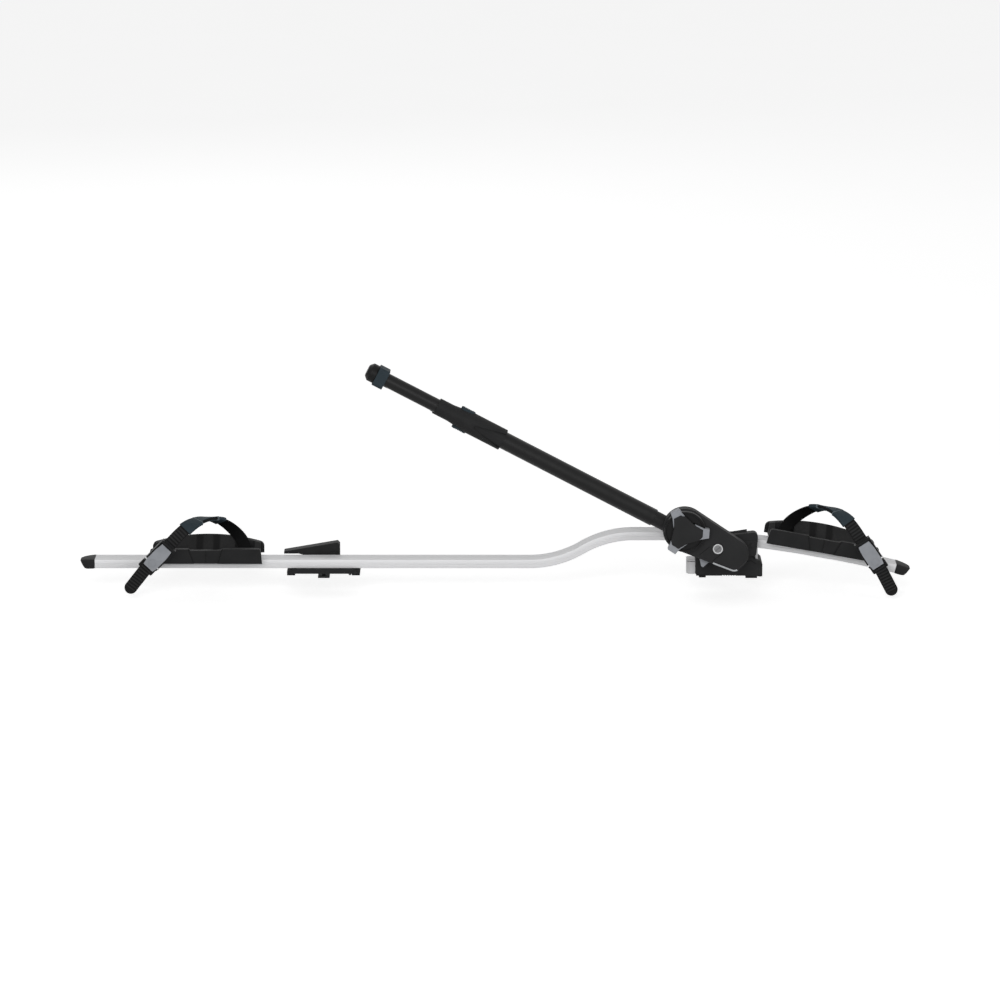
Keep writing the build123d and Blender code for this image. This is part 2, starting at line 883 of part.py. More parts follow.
def arm_cover_near():
    cover = across(housing_outline(), housing_near_y, housing_split_y)
    edges = cover.faces().sort_by(Axis.Y)[0].edges()
    cover = chamfer(edges, housing_edge)
    cover -= tube_channel()
    cover -= pivot_bore()
    cover -= spindle_bore()
    cover -= trigger_slot()
    bore = lock_radius + running_gap
    cover -= rod(bore, -lock_along, lock_above, housing_near_y, housing_near_y + lock_depth)
    return cover


def arm_cover_far():
    cover = across(housing_outline(housing_far_inset), housing_split_y, housing_far_y)
    edges = cover.faces().sort_by(Axis.Y)[-1].edges()
    cover = chamfer(edges, housing_edge)
    cover -= tube_channel()
    cover -= pivot_bore()
    cover -= spindle_bore()
    cover -= trigger_slot()
    for x, z in housing_screw_places():
        cover -= rod(housing_screw_radius, x, z, housing_far_y - housing_screw_length, housing_far_y)
    return cover


def housing_screw_places():
    """Places of the screws that close the housing, from its far side."""
    return [
        (-knob_along, knob_above + housing_screw_spread),
        (-knob_along, knob_above - housing_screw_spread),
        (-lock_along, housing_screw_spread),
    ]


def arm_cover_screws():
    screws = Part()
    for x, z in housing_screw_places():
        screws += rod(housing_screw_radius, x, z, housing_far_y - housing_screw_length, housing_far_y)
    return screws


def arm_socket():
    """Neck that joins the housing to the outer tube."""
    neck = along_arm(Circle(socket_neck_radius), socket_start, arm_tube_start)
    spigot_radius = arm_tube_radius - arm_tube_wall
    shoulder = max(spigot_radius, socket_neck_radius)
    spigot = along_arm(Circle(spigot_radius), arm_tube_start, arm_tube_start + socket_spigot_length)
    bore = along_arm(Circle(shoulder / 2), socket_start, arm_tube_start + socket_spigot_length)
    return neck + spigot - bore


def arm_outer_tube():
    ring = Circle(arm_tube_radius) - Circle(arm_tube_radius - arm_tube_wall)
    return along_arm(ring, arm_tube_start, arm_tube_end)


def arm_inner_tube():
    ring = Circle(inner_tube_radius) - Circle(inner_tube_radius - inner_tube_wall)
    return along_arm(ring, inner_tube_start, collar_end)


def sleeve_blank():
    """Outer form of the sleeve, narrow at the jaws and flared towards the hub."""
    profile = outline(
        (-sleeve_start, 0),
        (-sleeve_start, sleeve_radius),
        (-sleeve_flare_start, sleeve_radius),
        (-sleeve_flare_end, sleeve_top_radius),
        (-sleeve_end, sleeve_top_radius),
        (-sleeve_end, 0),
    )
    return Pos(0, arm_y, 0) * revolve(Plane.XZ * profile, Axis.X)


def sleeve_panels():
    """Sunk panels on both sides of the flare, each opening towards the hub."""
    panel = outline(
        (-sleeve_start, sleeve_panel_end_half),
        (-sleeve_panel_start, sleeve_panel_tip_half),
        (-sleeve_panel_start, -sleeve_panel_tip_half),
        (-sleeve_start, -sleeve_panel_end_half),
    )
    wedge = across(panel, arm_y - sleeve_radius, arm_y + sleeve_radius)
    return wedge - along_arm(Circle(sleeve_panel_radius), sleeve_start, sleeve_panel_start)


def jaw_sleeve():
    """Sleeve over the outer tube's end: it carries the lower jaw and the release buttons."""
    sleeve = sleeve_blank() - sleeve_panels()
    sleeve -= along_arm(Circle(bush_radius), arm_tube_end, sleeve_end)
    sleeve -= along_arm(Circle(arm_tube_radius), sleeve_start, arm_tube_end)
    for side in (-1, 1):
        sleeve -= button_solid(side, button_floor, button_height, button_clearance)
    return sleeve


def button_solid(side, low, high, gap):
    """Round-ended button body on one side of the sleeve."""
    shape = SlotOverall(button_length + 2 * gap, button_width + 2 * gap)
    place = Pos(-button_along, arm_y, side * low)
    amount = side * (high - low)
    return place * extrude(shape, amount)


def release_button(side):
    """Ribbed push button."""
    low = button_floor + button_travel + button_clearance
    button = button_solid(side, low, button_height, 0)
    pitch = (button_length - button_width) / button_rib_count
    top = side * button_height
    for index in range(button_rib_count):
        shift = (index - (button_rib_count - 1) / 2) * pitch
        x = -button_along + shift
        z_low = min(top - side * button_rib_depth, top)
        groove = block(
            x - button_rib / 2,
            x + button_rib / 2,
            arm_y - button_width,
            arm_y + button_width,
            z_low,
            z_low + button_rib_depth,
        )
        button -= groove
    return button


def guide_bush():
    ring = Circle(bush_radius) - Circle(inner_tube_radius + running_gap)
    return along_arm(ring, sleeve_end - bush_length, sleeve_end)


def tail_guide():
    """Plain bearing on the inner tube's hidden end, running in the outer tube."""
    ring = Circle(arm_tube_radius - arm_tube_wall - running_gap) - Circle(inner_tube_radius)
    return along_arm(ring, inner_tube_start, inner_tube_start + bush_length)


def jaw_face_profile(sign, face, thickness):
    """Face of a jaw in plan; sign is towards the gap between the jaws, seen from above."""
    heel = jaw_root_y + jaw_heel_length
    finger = jaw_reach_y - jaw_finger_length
    return [
        (face + sign * jaw_heel, jaw_root_y),
        (face, heel),
        (face, finger),
        (face + sign * jaw_finger, jaw_reach_y - jaw_nose_radius),
        (face + sign * jaw_finger, jaw_reach_y),
        (face + sign * (jaw_finger - jaw_nose_radius), jaw_reach_y),
    ]


def jaw(sign, face, root_length):
    """Claw that reaches from the arm across the rail; sign is the way its face looks along X."""
    front = jaw_face_profile(sign, face, jaw_thickness)
    back = face - sign * jaw_thickness
    root = face - sign * root_length
    rear = [(back, jaw_reach_y - jaw_thickness), (root, jaw_root_y + jaw_thickness), (root, jaw_root_y)]
    return Pos(0, 0, jaw_low) * extrude(outline(*front, *rear), jaw_high - jaw_low)


def lower_jaw():
    face = -(jaw_face_lower - jaw_pad_thickness)
    claw = jaw(-1, face, jaw_face_lower - jaw_back_lower)
    root = arm_box(jaw_back_lower, jaw_face_lower - jaw_pad_thickness, arm_y, jaw_root_y, jaw_low, jaw_high)
    claw += root
    claw -= sleeve_blank()
    return claw - along_arm(Circle(inner_tube_radius + jaw_nose_radius), jaw_back_lower, jaw_face_upper)


def upper_jaw():
    face = -(jaw_face_upper + jaw_pad_thickness)
    claw = jaw(1, face, collar_end - jaw_face_upper - jaw_pad_thickness)
    root = arm_box(collar_start, collar_end, arm_y, jaw_root_y, jaw_low, jaw_high)
    claw += root
    near = arm_y - collar_half
    far = arm_y + collar_half
    claw -= arm_box(collar_start, collar_end, near, far, -collar_half, collar_half)
    return claw - along_arm(Circle(inner_tube_radius + running_gap), jaw_back_lower, tip_cap_end)


def jaw_pad(sign, face):
    """Soft pad on a jaw's face, with ribs across it."""
    front = jaw_face_profile(sign, face, jaw_thickness)[1:4]
    shift = sign * jaw_pad_thickness
    points = front + [(x + shift, y) for x, y in reversed(front)]
    pad = Pos(0, 0, jaw_low) * extrude(outline(*points), jaw_high - jaw_low)
    run = jaw_reach_y - jaw_finger_length - jaw_root_y - jaw_heel_length
    pitch = run / jaw_pad_rib_count
    for index in range(jaw_pad_rib_count):
        y = jaw_root_y + jaw_heel_length + (index + 1) * pitch
        x = face + shift
        x_low = min(x, x - sign * jaw_pad_rib_depth)
        pad -= block(x_low, x_low + jaw_pad_rib_depth, y - pitch / 4, y, jaw_low, jaw_high)
    return pad


def jaw_collar():
    shape = RectangleRounded(2 * collar_half, 2 * collar_half, collar_corner_radius)
    return along_arm(shape - Circle(inner_tube_radius), collar_start, collar_end)


def arm_tip_cap():
    """Chamfered cap that closes the inner tube."""
    cap = along_arm(Circle(tip_cap_radius), collar_end, tip_cap_end)
    cap = chamfer(cap.faces().sort_by(Axis.X)[0].edges(), tip_cap_taper)
    plug = inner_tube_radius - inner_tube_wall - running_gap
    return cap + along_arm(Circle(plug), collar_end - tip_plug_length, collar_end)


# Knob


def knob_near_y():
    return housing_near_y - knob_back_gap - knob_thickness


def knob_disc():
    """Round grip with a raised rim and a sunk face."""
    back = housing_near_y - knob_back_gap
    disc = rod(knob_radius, 0, 0, knob_near_y(), back)
    disc -= rod(knob_recess_radius, 0, 0, knob_near_y(), knob_near_y() + knob_recess)
    disc -= rod(spindle_radius, 0, 0, knob_near_y(), back)
    return disc - knob_lugs()


def lug_outline(angle):
    """Side view of one grip lug: a block over the rim with a hooked finger on one side."""
    half = knob_lug_width / 2
    inner = knob_lug_inner_radius
    width = knob_finger_width
    shape = outline(
        (knob_lug_radius, half),
        (knob_lug_radius, -half),
        (knob_heel_along, -knob_heel_side),
        (inner, -width),
        (inner, width),
        (knob_heel_along - width, half),
        (knob_finger_along, knob_finger_side),
        (knob_heel_along, half + width),
        (inner + width, half + width / 4),
    )
    return Rot(0, 0, angle) * shape


def knob_lugs():
    shape = Sketch()
    for index in range(knob_lug_count):
        shape += lug_outline(knob_lug_first_angle + index * 360 / knob_lug_count)
    back = housing_near_y - knob_back_gap
    return across(shape, knob_near_y() - knob_lug_rise, back)


def polar(radius, angle):
    """Point of a side view at a distance and an angle in degrees."""
    return radius * math.cos(math.radians(angle)), radius * math.sin(math.radians(angle))


def knob_cap():
    """Raised centre with three lobes, one at each lug."""
    points = []
    for index in range(knob_lug_count):
        angle = knob_lug_first_angle + index * 360 / knob_lug_count
        points += [
            polar(knob_cap_corner_radius, angle - knob_cap_corner_angle),
            polar(knob_cap_radius, angle - knob_cap_lobe_angle),
            polar(knob_cap_radius, angle + knob_cap_lobe_angle),
            polar(knob_cap_tip_radius, angle + knob_cap_tip_angle),
        ]
    far = knob_near_y() + knob_recess
    return across(outline(*points), far - knob_recess - knob_cap_thickness, far) - knob_lugs()


def knob_spindle():
    """Spindle that turns in the housing and winds in the jaws."""
    return rod(spindle_radius, 0, 0, knob_near_y() + knob_recess, housing_near_y + spindle_depth)


def at_knob(solid):
    return Pos(-knob_along, 0, knob_above) * solid


def lock_barrel():
    near = housing_near_y - lock_proud
    barrel = rod(lock_radius, -lock_along, lock_above, near, housing_near_y + lock_depth - running_gap)
    slot = Pos(-lock_along, lock_above) * Rot(0, 0, 60) * Rectangle(lock_slot_length, lock_slot_width)
    return barrel - across(slot, near, near + lock_slot_depth)


def release_trigger():
    """Toothed trigger under the housing."""
    middle = (housing_near_y + housing_far_y) / 2
    half = trigger_width / 2
    along = trigger_length / 2
    shape = outline(
        (-trigger_along - along, -trigger_top),
        (-trigger_along + along, -trigger_top),
        (-trigger_along + along, trigger_front_rise - trigger_tip),
        (-trigger_along + along - trigger_tip_inset, -trigger_tip),
        (-trigger_along + along - trigger_tip_inset - trigger_tip_length, -trigger_tip),
        (-trigger_along - along, trigger_rear_rise - trigger_tip),
    )
    return across(shape, middle - half, middle + half)


# Front foot


def foot_cover():
    """Moulded cover round the foot, lower at its front shoulder."""
    shape = outline(
        (foot_left_x, foot_pad_height),
        (foot_left_x, foot_height),
        (foot_right_x - foot_shoulder_length, foot_height),
        (foot_right_x - foot_shoulder_length / 2, foot_shoulder_height + foot_corner_radius),
        (foot_right_x, foot_shoulder_height),
        (foot_right_x, foot_pad_height),
    )
    cover = across(shape, -foot_half_width, foot_half_width)
    cover = fillet(cover.edges().filter_by(Axis.Z), foot_corner_radius)
    half = foot_half_width - foot_wall
    room = block(
        foot_left_x,
        foot_right_x - foot_wall,
        -half,
        half,
        foot_pad_height,
        foot_shoulder_height - foot_wall,
    )
    cover -= room
    cover -= block(foot_left_x, casting_right_x, -half, half, foot_pad_height, foot_height)
    notch = bracket_boss_radius + bracket_cover_gap
    return cover - rod(notch, arm_pivot_x, arm_pivot_z, -foot_half_width, 0)


def foot_pad():
    """Rubber pad on the load bar, ribbed along its underside."""
    left = foot_left_x + foot_pad_margin
    right = foot_right_x - foot_pad_margin
    half = foot_half_width - foot_pad_margin
    pad = block(left, right, -half, half, 0, foot_pad_height)
    for index in range(foot_pad_rib_count):
        middle = (index - (foot_pad_rib_count - 1) / 2) * foot_pad_rib_pitch
        x = middle - foot_pad_rib / 2
        pad -= block(x, x + foot_pad_rib, -half, half, 0, foot_pad_rib_depth)
    for x in (locator_x, clamp_x):
        pad -= upright(bolt_radius + bolt_clearance, x, 0, 0, foot_pad_height)
    return pad


def foot_casting():
    """Cast core of the foot: it carries the rail from below and ends in a rounded nose."""
    low = foot_pad_height
    nose_end = foot_left_x - bolt_clearance
    shape = outline(
        (casting_left_x, casting_nose_low),
        (casting_left_x, casting_nose_top),
        (casting_shoulder_x, casting_nose_top),
        (casting_shoulder_x, foot_height + overrun),
        (casting_right_x, foot_height + overrun),
        (casting_right_x, low),
        (nose_end, low),
        (nose_end, casting_nose_low),
    )
    core = across(shape, -casting_half_width, casting_half_width)
    nose_edges = core.edges().filter_by(Axis.Z).sort_by(Axis.X)[:2]
    core = fillet(nose_edges, casting_nose_radius)
    core -= rail_room(casting_rail_gap)
    slit = block(
        casting_left_x,
        casting_left_x + casting_slit_length,
        -side_reach,
        side_reach,
        casting_slit_z,
        casting_slit_z + casting_slit,
    )
    core -= slit
    core -= upright(bolt_radius, locator_x, 0, 0, casting_slit_z - casting_slit)
    core -= yoke_room()
    core -= upright(bolt_radius + bolt_clearance, clamp_x, 0, 0, foot_height)
    return core


def rail_room(gap):
    """Everything over the foot that lies above the rail's underside, less a gap."""
    height = rail_height + gap + overrun
    return along_rail(Rectangle(side_reach, height), overrun / 2 - gap / 2)


def yoke_room():
    """Room for the clamp's yoke to move under the rail."""
    gap = bolt_clearance
    half = yoke_length / 2 + gap
    top = yoke_top() + gap
    low = yoke_top() - yoke_thickness - clamp_travel - gap
    side = yoke_half_width + gap
    return block(clamp_x - half, clamp_x + half, -side, side, low, top)


def yoke_top():
    """Top of the clamp's yoke when it is pulled up."""
    centre, heading = rail_at(clamp_x + yoke_length)
    return centre - rail_height / 2 - yoke_top_gap


def t_head(x):
    """Head for the slot in a load bar, below the bar's upper face."""
    half = t_head_length / 2
    side = t_head_width / 2
    low = -t_head_drop - t_head_thickness
    return block(x - half, x + half, -side, side, low, -t_head_drop)


def front_t_bolt():
    """T-bolt for the slot in the load bar, hanging on the yoke below the rail."""
    top = yoke_top()
    half = yoke_length / 2
    low = top - yoke_thickness
    yoke = block(clamp_x - half, clamp_x + half, -yoke_half_width, yoke_half_width, low, top)
    stem = upright(bolt_radius, clamp_x, 0, -t_head_drop, top - yoke_thickness)
    return yoke + stem + t_head(clamp_x)


def locator_bolt():
    """Fixed bolt that finds the load bar's slot."""
    stem = upright(bolt_radius, locator_x, 0, -locator_drop, casting_slit_z - casting_slit)
    half = locator_head_length / 2
    low = -locator_drop - t_head_thickness
    return stem + block(locator_x - half, locator_x + half, -half, half, low, -locator_drop)


def front_clamp_ear():
    """Ear beside the rail, on a foot against the casting, with the clamp lever's pin."""
    near = -ear_inner - ear_thickness
    ear = rod(ear_radius, clamp_x, clamp_z, near, -ear_inner)
    left = clamp_x - ear_half_width
    right = clamp_x + ear_half_width
    ear += block(left, right, near, -ear_inner, ear_foot_z, clamp_z)
    ear += block(left, right, near, -casting_half_width, ear_foot_z, ear_foot_top)
    ear -= rail_room(casting_rail_gap) & block(left, right, -ear_inner, 0, ear_foot_z, clamp_z)
    pin_end = near - lever_gap - lever_width - clamp_pin_proud
    return ear + rod(clamp_pin_radius, clamp_x, clamp_z, pin_end, -ear_inner)


def front_clamp_lever():
    """Wedge lever on the near side of the rail, thick at its pin and thin at its tip."""
    tip_top = front_lever_tip_z + front_lever_tip_thickness
    shape = outline(
        (front_lever_tip_x, front_lever_tip_z),
        (front_lever_tip_x, tip_top),
        (front_lever_end_x, front_lever_top_z),
        (front_lever_end_x, front_lever_side_z),
        (front_lever_foot_end_x, front_lever_low_z),
        (front_lever_foot_x, front_lever_low_z),
        (clamp_x - ear_radius, front_lever_waist_z),
        (front_lever_belly_x, front_lever_belly_z),
    )
    feet = shape.vertices().sort_by(Axis.Y)[:2]
    shape = fillet(feet, front_lever_foot_round)
    shape = fillet(shape.vertices().sort_by(Axis.Y)[-1], front_lever_round)
    far = -ear_inner - ear_thickness - lever_gap
    near = far - lever_width
    lever = across(shape, near, far)
    slope = (front_lever_top_z - tip_top) / (front_lever_end_x - front_lever_tip_x)
    rib_start = tip_top + slope * (front_lever_rib_start_x - front_lever_tip_x)
    rib_end = tip_top + slope * (front_lever_rib_end_x - front_lever_tip_x)
    rib = outline(
        (front_lever_rib_start_x, rib_start - front_lever_rib),
        (front_lever_rib_start_x, rib_start + front_lever_rib / 2),
        (front_lever_rib_end_x, rib_end + front_lever_rib),
        (front_lever_rib_end_x, rib_end - front_lever_rib),
    )
    lever += across(rib, far - front_lever_rib_width, far)
    seam = block(
        front_lever_belly_x,
        front_lever_end_x,
        near,
        near + front_lever_seam_depth,
        front_lever_side_z,
        front_lever_side_z + front_lever_seam,
    )
    bore = clamp_pin_radius + running_gap
    return lever - seam - rod(bore, clamp_x, clamp_z, near, far)


# Hub bracket and pivot pin


def hub_bracket():
    """Bracket on the casting's near side with a round boss for the arm's pivot."""
    plate_far = -casting_half_width
    boss = rod(bracket_boss_radius, arm_pivot_x, arm_pivot_z, bracket_near_y, plate_far)
    half = bracket_foot_length / 2
    web = outline(
        (arm_pivot_x - half, foot_height + foot_wall),
        (arm_pivot_x - bracket_boss_radius, arm_pivot_z),
        (arm_pivot_x + bracket_boss_radius, arm_pivot_z),
        (arm_pivot_x + half / 2, foot_height + foot_wall),
    )
    plate = across(web, plate_far - bracket_plate, plate_far)
    bracket = boss + plate
    bracket -= rail_room(casting_rail_gap)
    return bracket - rod(pivot_pin_radius, arm_pivot_x, arm_pivot_z, bracket_near_y, plate_far)


def arm_pivot_pin():
    return rod(pivot_pin_radius, arm_pivot_x, arm_pivot_z, pivot_pin_near_y, -casting_half_width)


# Rear clamp


def rear_plate():
    """Plate between the rear load bar and the rail, with an ear on its far side for the lever."""
    half = rear_plate_length / 2
    top = rail_rear_underside_z
    low = rear_pad_height
    left = rear_clamp_x - half
    right = rear_clamp_x + half
    shape = outline(
        (left, low),
        (left, rear_plate_end_height),
        (left + rear_foot_length, top),
        (right - rear_foot_length, top),
        (right, rear_plate_end_height),
        (right, low),
    )
    plate = across(shape, -rear_plate_half_width, rear_plate_half_width)
    ear_outer = rear_ear_inner + rear_ear_thickness
    ear_left = rear_lever_pivot_x - rear_ear_radius
    ear_right = rear_lever_pivot_x + rear_ear_radius
    plate += rod(rear_ear_radius, rear_lever_pivot_x, rear_lever_pivot_z, rear_ear_inner, ear_outer)
    plate += block(ear_left, ear_right, rear_ear_inner, ear_outer, low, rear_lever_pivot_z)
    pin = Pos(rear_lever_pivot_x, rear_lever_pivot_z) * Circle(rear_lever_pin_radius)
    plate += across(pin, rear_ear_inner, rear_lever_outer)
    room_half = rear_yoke_length / 2 + bolt_clearance
    room_side = rear_yoke_half_width + bolt_clearance
    room_low = rear_yoke_z - clamp_travel - bolt_clearance
    plate -= block(rear_clamp_x - room_half, rear_clamp_x + room_half, -room_side, room_side, room_low, top)
    plate -= upright(bolt_radius + bolt_clearance, rear_clamp_x, 0, 0, top)
    return plate


def rear_pads():
    """Rubber feet under the plate's ends."""
    pads = Part()
    half = rear_plate_length / 2
    for side in (-1, 1):
        edge = rear_clamp_x + side * half
        x_from = min(edge, edge - side * rear_foot_length)
        x_to = x_from + rear_foot_length
        pads += block(x_from, x_to, -rear_plate_half_width, rear_plate_half_width, 0, rear_pad_height)
    return pads


def rear_screws():
    """Screw heads on the near face of the plate's front end."""
    heads = Part()
    right = rear_clamp_x + rear_plate_length / 2 - rear_screw_spread
    face = -rear_plate_half_width
    for index in range(2):
        x = right - index * rear_screw_spread
        z = rear_screw_z + (1 - index) * rear_screw_rise
        heads += rod(rear_screw_radius, x, z, face - rear_screw_head, face)
    return heads


def rear_t_bolt():
    top = rear_yoke_z + rear_yoke_thickness
    half = rear_yoke_length / 2
    side = rear_yoke_half_width
    yoke = block(rear_clamp_x - half, rear_clamp_x + half, -side, side, rear_yoke_z, top)
    stem = upright(bolt_radius, rear_clamp_x, 0, -t_head_drop, rear_yoke_z)
    return yoke + stem + t_head(rear_clamp_x)


def rear_clamp_lever():
    """Wedge lever on the far side of the rail, with a finger gap under its tip."""
    shape = outline(
        (rear_lever_tip_x, rear_lever_tip_z),
        (rear_lever_tip_x, rear_lever_tip_z + rear_lever_tip_thickness),
        (rear_lever_end_x - rear_lever_tip_thickness, rear_lever_top_z),
        (rear_lever_end_x, rear_lever_top_z - rear_lever_tip_thickness),
        (rear_lever_end_x, rear_lever_low_z),
        (rear_lever_pivot_x - rear_ear_radius, rear_lever_low_z),
        (rear_lever_tip_x + rear_lever_finger_length, rear_lever_tip_z),
    )
    lever = across(shape, rear_lever_inner, rear_lever_outer)
    bore = rear_lever_pin_radius + running_gap
    return lever - rod(bore, rear_lever_pivot_x, rear_lever_pivot_z, rear_lever_inner, rear_lever_outer)


def tray_place(end, solid):
    """Carries a piece from the tray's frame to the rear tray or, mirrored, to the front tray."""
    if end == "rear":
        return Pos(tray_rear_x, 0, rail_rear_underside_z + rail_height) * solid
    centre, heading = rail_at(tray_front_x)
    lean = math.radians(heading)
    x = tray_front_x - rail_height / 2 * math.sin(lean)
    z = centre + rail_height / 2 * math.cos(lean)
    return Pos(x, 0, z) * Rot(0, -heading, 0) * mirror(solid, Plane.YZ)


def tray_nodes():
    """All pieces of both wheel trays."""
    frame, pin, lever = buckle_pieces()
    pieces = {
        "wheel_tray": tray(),
        "tray_clamp": tray_clamp(),
        "tray_screws": tray_screws(),
        "wheel_strap": strap(),
        "rim_protector": rim_protector(),
        "buckle_frame": frame,
        "buckle_pin": pin,
        "buckle_lever": lever,
    }
    nodes = {}
    for end in ("rear", "front"):
        for name, solid in pieces.items():
            nodes[f"{end}_{name}"] = tray_place(end, solid)
    return nodes


def frame_nodes():
    return {
        "rail": rail(),
        "rear_end_cap": rear_end_cap(),
        "front_end_cap": front_end_cap(),
        "front_foot_casting": foot_casting(),
        "front_foot_cover": foot_cover(),
        "front_foot_pad": foot_pad(),
        "front_locator_bolt": locator_bolt(),
        "front_clamp_ear": front_clamp_ear(),
        "front_clamp_lever": front_clamp_lever(),
        "front_t_bolt": front_t_bolt(),
        "hub_bracket": hub_bracket(),
        "arm_pivot_pin": arm_pivot_pin(),
        "rear_clamp_plate": rear_plate(),
        "rear_clamp_pads": rear_pads(),
        "rear_clamp_screws": rear_screws(),
        "rear_clamp_lever": rear_clamp_lever(),
        "rear_t_bolt": rear_t_bolt(),
    }


def arm_nodes():
    pieces = {
        "arm_cover_near": arm_cover_near(),
        "arm_cover_far": arm_cover_far(),
        "arm_cover_screws": arm_cover_screws(),
        "arm_socket": arm_socket(),
        "arm_outer_tube": arm_outer_tube(),
        "arm_inner_tube": arm_inner_tube(),
        "inner_tube_guide": tail_guide(),
        "jaw_sleeve": jaw_sleeve(),
        "guide_bush": guide_bush(),
        "upper_release_button": release_button(1),
        "lower_release_button": release_button(-1),
        "lower_jaw": lower_jaw(),
        "lower_jaw_pad": jaw_pad(-1, -(jaw_face_lower - jaw_pad_thickness)),
        "upper_jaw": upper_jaw(),
        "upper_jaw_pad": jaw_pad(1, -(jaw_face_upper + jaw_pad_thickness)),
        "jaw_collar": jaw_collar(),
        "arm_tip_cap": arm_tip_cap(),
        "knob_disc": at_knob(knob_disc()),
        "knob_lugs": at_knob(knob_lugs()),
        "knob_cap": at_knob(knob_cap()),
        "knob_spindle": at_knob(knob_spindle()),
        "lock_barrel": lock_barrel(),
        "release_trigger": release_trigger(),
    }
    return {name: on_arm(solid) for name, solid in pieces.items()}


def main():
    os.makedirs("parts", exist_ok=True)
    for name, solid in {**frame_nodes(), **arm_nodes(), **tray_nodes()}.items():
        export_step(solid, f"parts/{name}.step")


if __name__ == "__main__":
    main()
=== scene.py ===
"""Looks of a roof mounted bike carrier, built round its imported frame.

Lengths are in metres. X runs along the rail, Z points up and -Y is the side with the knob.
"""

import json
import logging
import math
from dataclasses import dataclass, replace
from enum import Enum

import bmesh
import bpy
import numpy as np
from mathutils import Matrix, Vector

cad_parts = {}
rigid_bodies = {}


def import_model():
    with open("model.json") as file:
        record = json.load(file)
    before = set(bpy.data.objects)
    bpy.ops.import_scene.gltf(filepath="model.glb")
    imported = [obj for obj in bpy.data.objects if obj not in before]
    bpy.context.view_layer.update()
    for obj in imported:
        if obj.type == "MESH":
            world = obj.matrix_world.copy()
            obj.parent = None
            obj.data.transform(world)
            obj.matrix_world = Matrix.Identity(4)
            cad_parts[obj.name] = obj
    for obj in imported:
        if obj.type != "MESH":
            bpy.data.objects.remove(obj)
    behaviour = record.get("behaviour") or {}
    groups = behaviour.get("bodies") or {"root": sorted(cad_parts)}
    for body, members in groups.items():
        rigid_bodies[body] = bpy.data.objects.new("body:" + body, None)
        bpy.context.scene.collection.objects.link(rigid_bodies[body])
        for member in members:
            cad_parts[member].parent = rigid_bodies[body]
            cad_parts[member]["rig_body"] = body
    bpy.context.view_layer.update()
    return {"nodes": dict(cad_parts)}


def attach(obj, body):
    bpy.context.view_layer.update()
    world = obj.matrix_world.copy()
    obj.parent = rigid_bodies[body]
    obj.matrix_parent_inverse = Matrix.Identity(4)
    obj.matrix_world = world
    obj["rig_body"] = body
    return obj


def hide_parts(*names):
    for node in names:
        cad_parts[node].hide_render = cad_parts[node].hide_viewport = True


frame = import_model()
log = logging.getLogger("carrier")

Array = np.ndarray
Colour = tuple[float, float, float]

DUST_COLOUR = (0.62, 0.6, 0.57)
# Dark colour of seams; on the trays it also paints shade in the gaps between the wall pads.
SEAM_AND_SHADE_COLOUR = (0.04, 0.04, 0.042)
LINE_DEPTH = 6.0
SCUFF_ROUGHNESS = 0.2
BUMP_STRENGTH = 0.6
MERGE_NEW = 0.000002
MERGE_PACKED = 0.000004
FLAT_ANGLE = 1.0
BEVEL_ANGLE = 32.0
SOFT_ANGLE = 38.0


class Slot(Enum):
    """Material slots that the record names."""

    RAIL = "rail_aluminium"
    CAST = "cast_aluminium"
    BLACK = "black_plastic"
    GREY = "grey_plastic"
    RUBBER = "dark_rubber"
    METAL = "black_metal"
    STEEL = "steel"


class End(Enum):
    """The two ends of the rail that carry a wheel tray."""

    REAR = "rear"
    FRONT = "front"


# Node groups: effects that several finishes share


def linear(colour: Colour) -> tuple[float, float, float, float]:
    """Turns a colour written as display values into the values that a shader reads, by the sRGB curve.

    Args:
        colour: Red, green and blue from 0 to 1, as a screen shows them.

    Returns:
        The same colour in linear light, with a full alpha.
    """
    values = np.asarray(colour, float)
    low = values / 12.92
    high = ((values + 0.055) / 1.055) ** 2.4
    return (*np.where(values <= 0.04045, low, high).tolist(), 1.0)


def open_group(name: str, inputs: dict[str, tuple[str, float]], outputs: dict[str, str]) -> tuple:
    """Starts a shader node group with named sockets.

    Args:
        name: Name of the group.
        inputs: Each input's socket type and default; a vector input has no default.
        outputs: Each output's socket type.

    Returns:
        The group's tree, its input node and its output node.
    """
    tree = bpy.data.node_groups.new(name, "ShaderNodeTree")
    for label, (kind, default) in inputs.items():
        socket = tree.interface.new_socket(label, in_out="INPUT", socket_type=kind)
        if kind == "NodeSocketFloat":
            socket.default_value = default
    for label, kind in outputs.items():
        tree.interface.new_socket(label, in_out="OUTPUT", socket_type=kind)
    return tree, tree.nodes.new("NodeGroupInput"), tree.nodes.new("NodeGroupOutput")


def math_node(tree: bpy.types.NodeTree, operation: str, first: object, second: object = 0.0) -> object:
    """Adds a math node.

    Args:
        tree: The tree that it joins.
        operation: Blender's name for the operation.
        first: Socket or number for its first input.
        second: Socket or number for its second input.

    Returns:
        Its output socket.
    """
    node = tree.nodes.new("ShaderNodeMath")
    node.operation = operation
    for socket, value in zip(node.inputs, (first, second)):
        if isinstance(value, bpy.types.NodeSocket):
            tree.links.new(value, socket)
        else:
            socket.default_value = value
    return node.outputs[0]


def vector_math(tree: bpy.types.NodeTree, operation: str, first: object, second: object) -> object:
    """Adds a vector math node between two sockets.

    Args:
        tree: The tree that it joins.
        operation: Blender's name for the operation.
        first: Socket for its first input.
        second: Socket for its second input.

    Returns:
        The node.
    """
    node = tree.nodes.new("ShaderNodeVectorMath")
    node.operation = operation
    tree.links.new(first, node.inputs[0])
    tree.links.new(second, node.inputs[1])
    return node


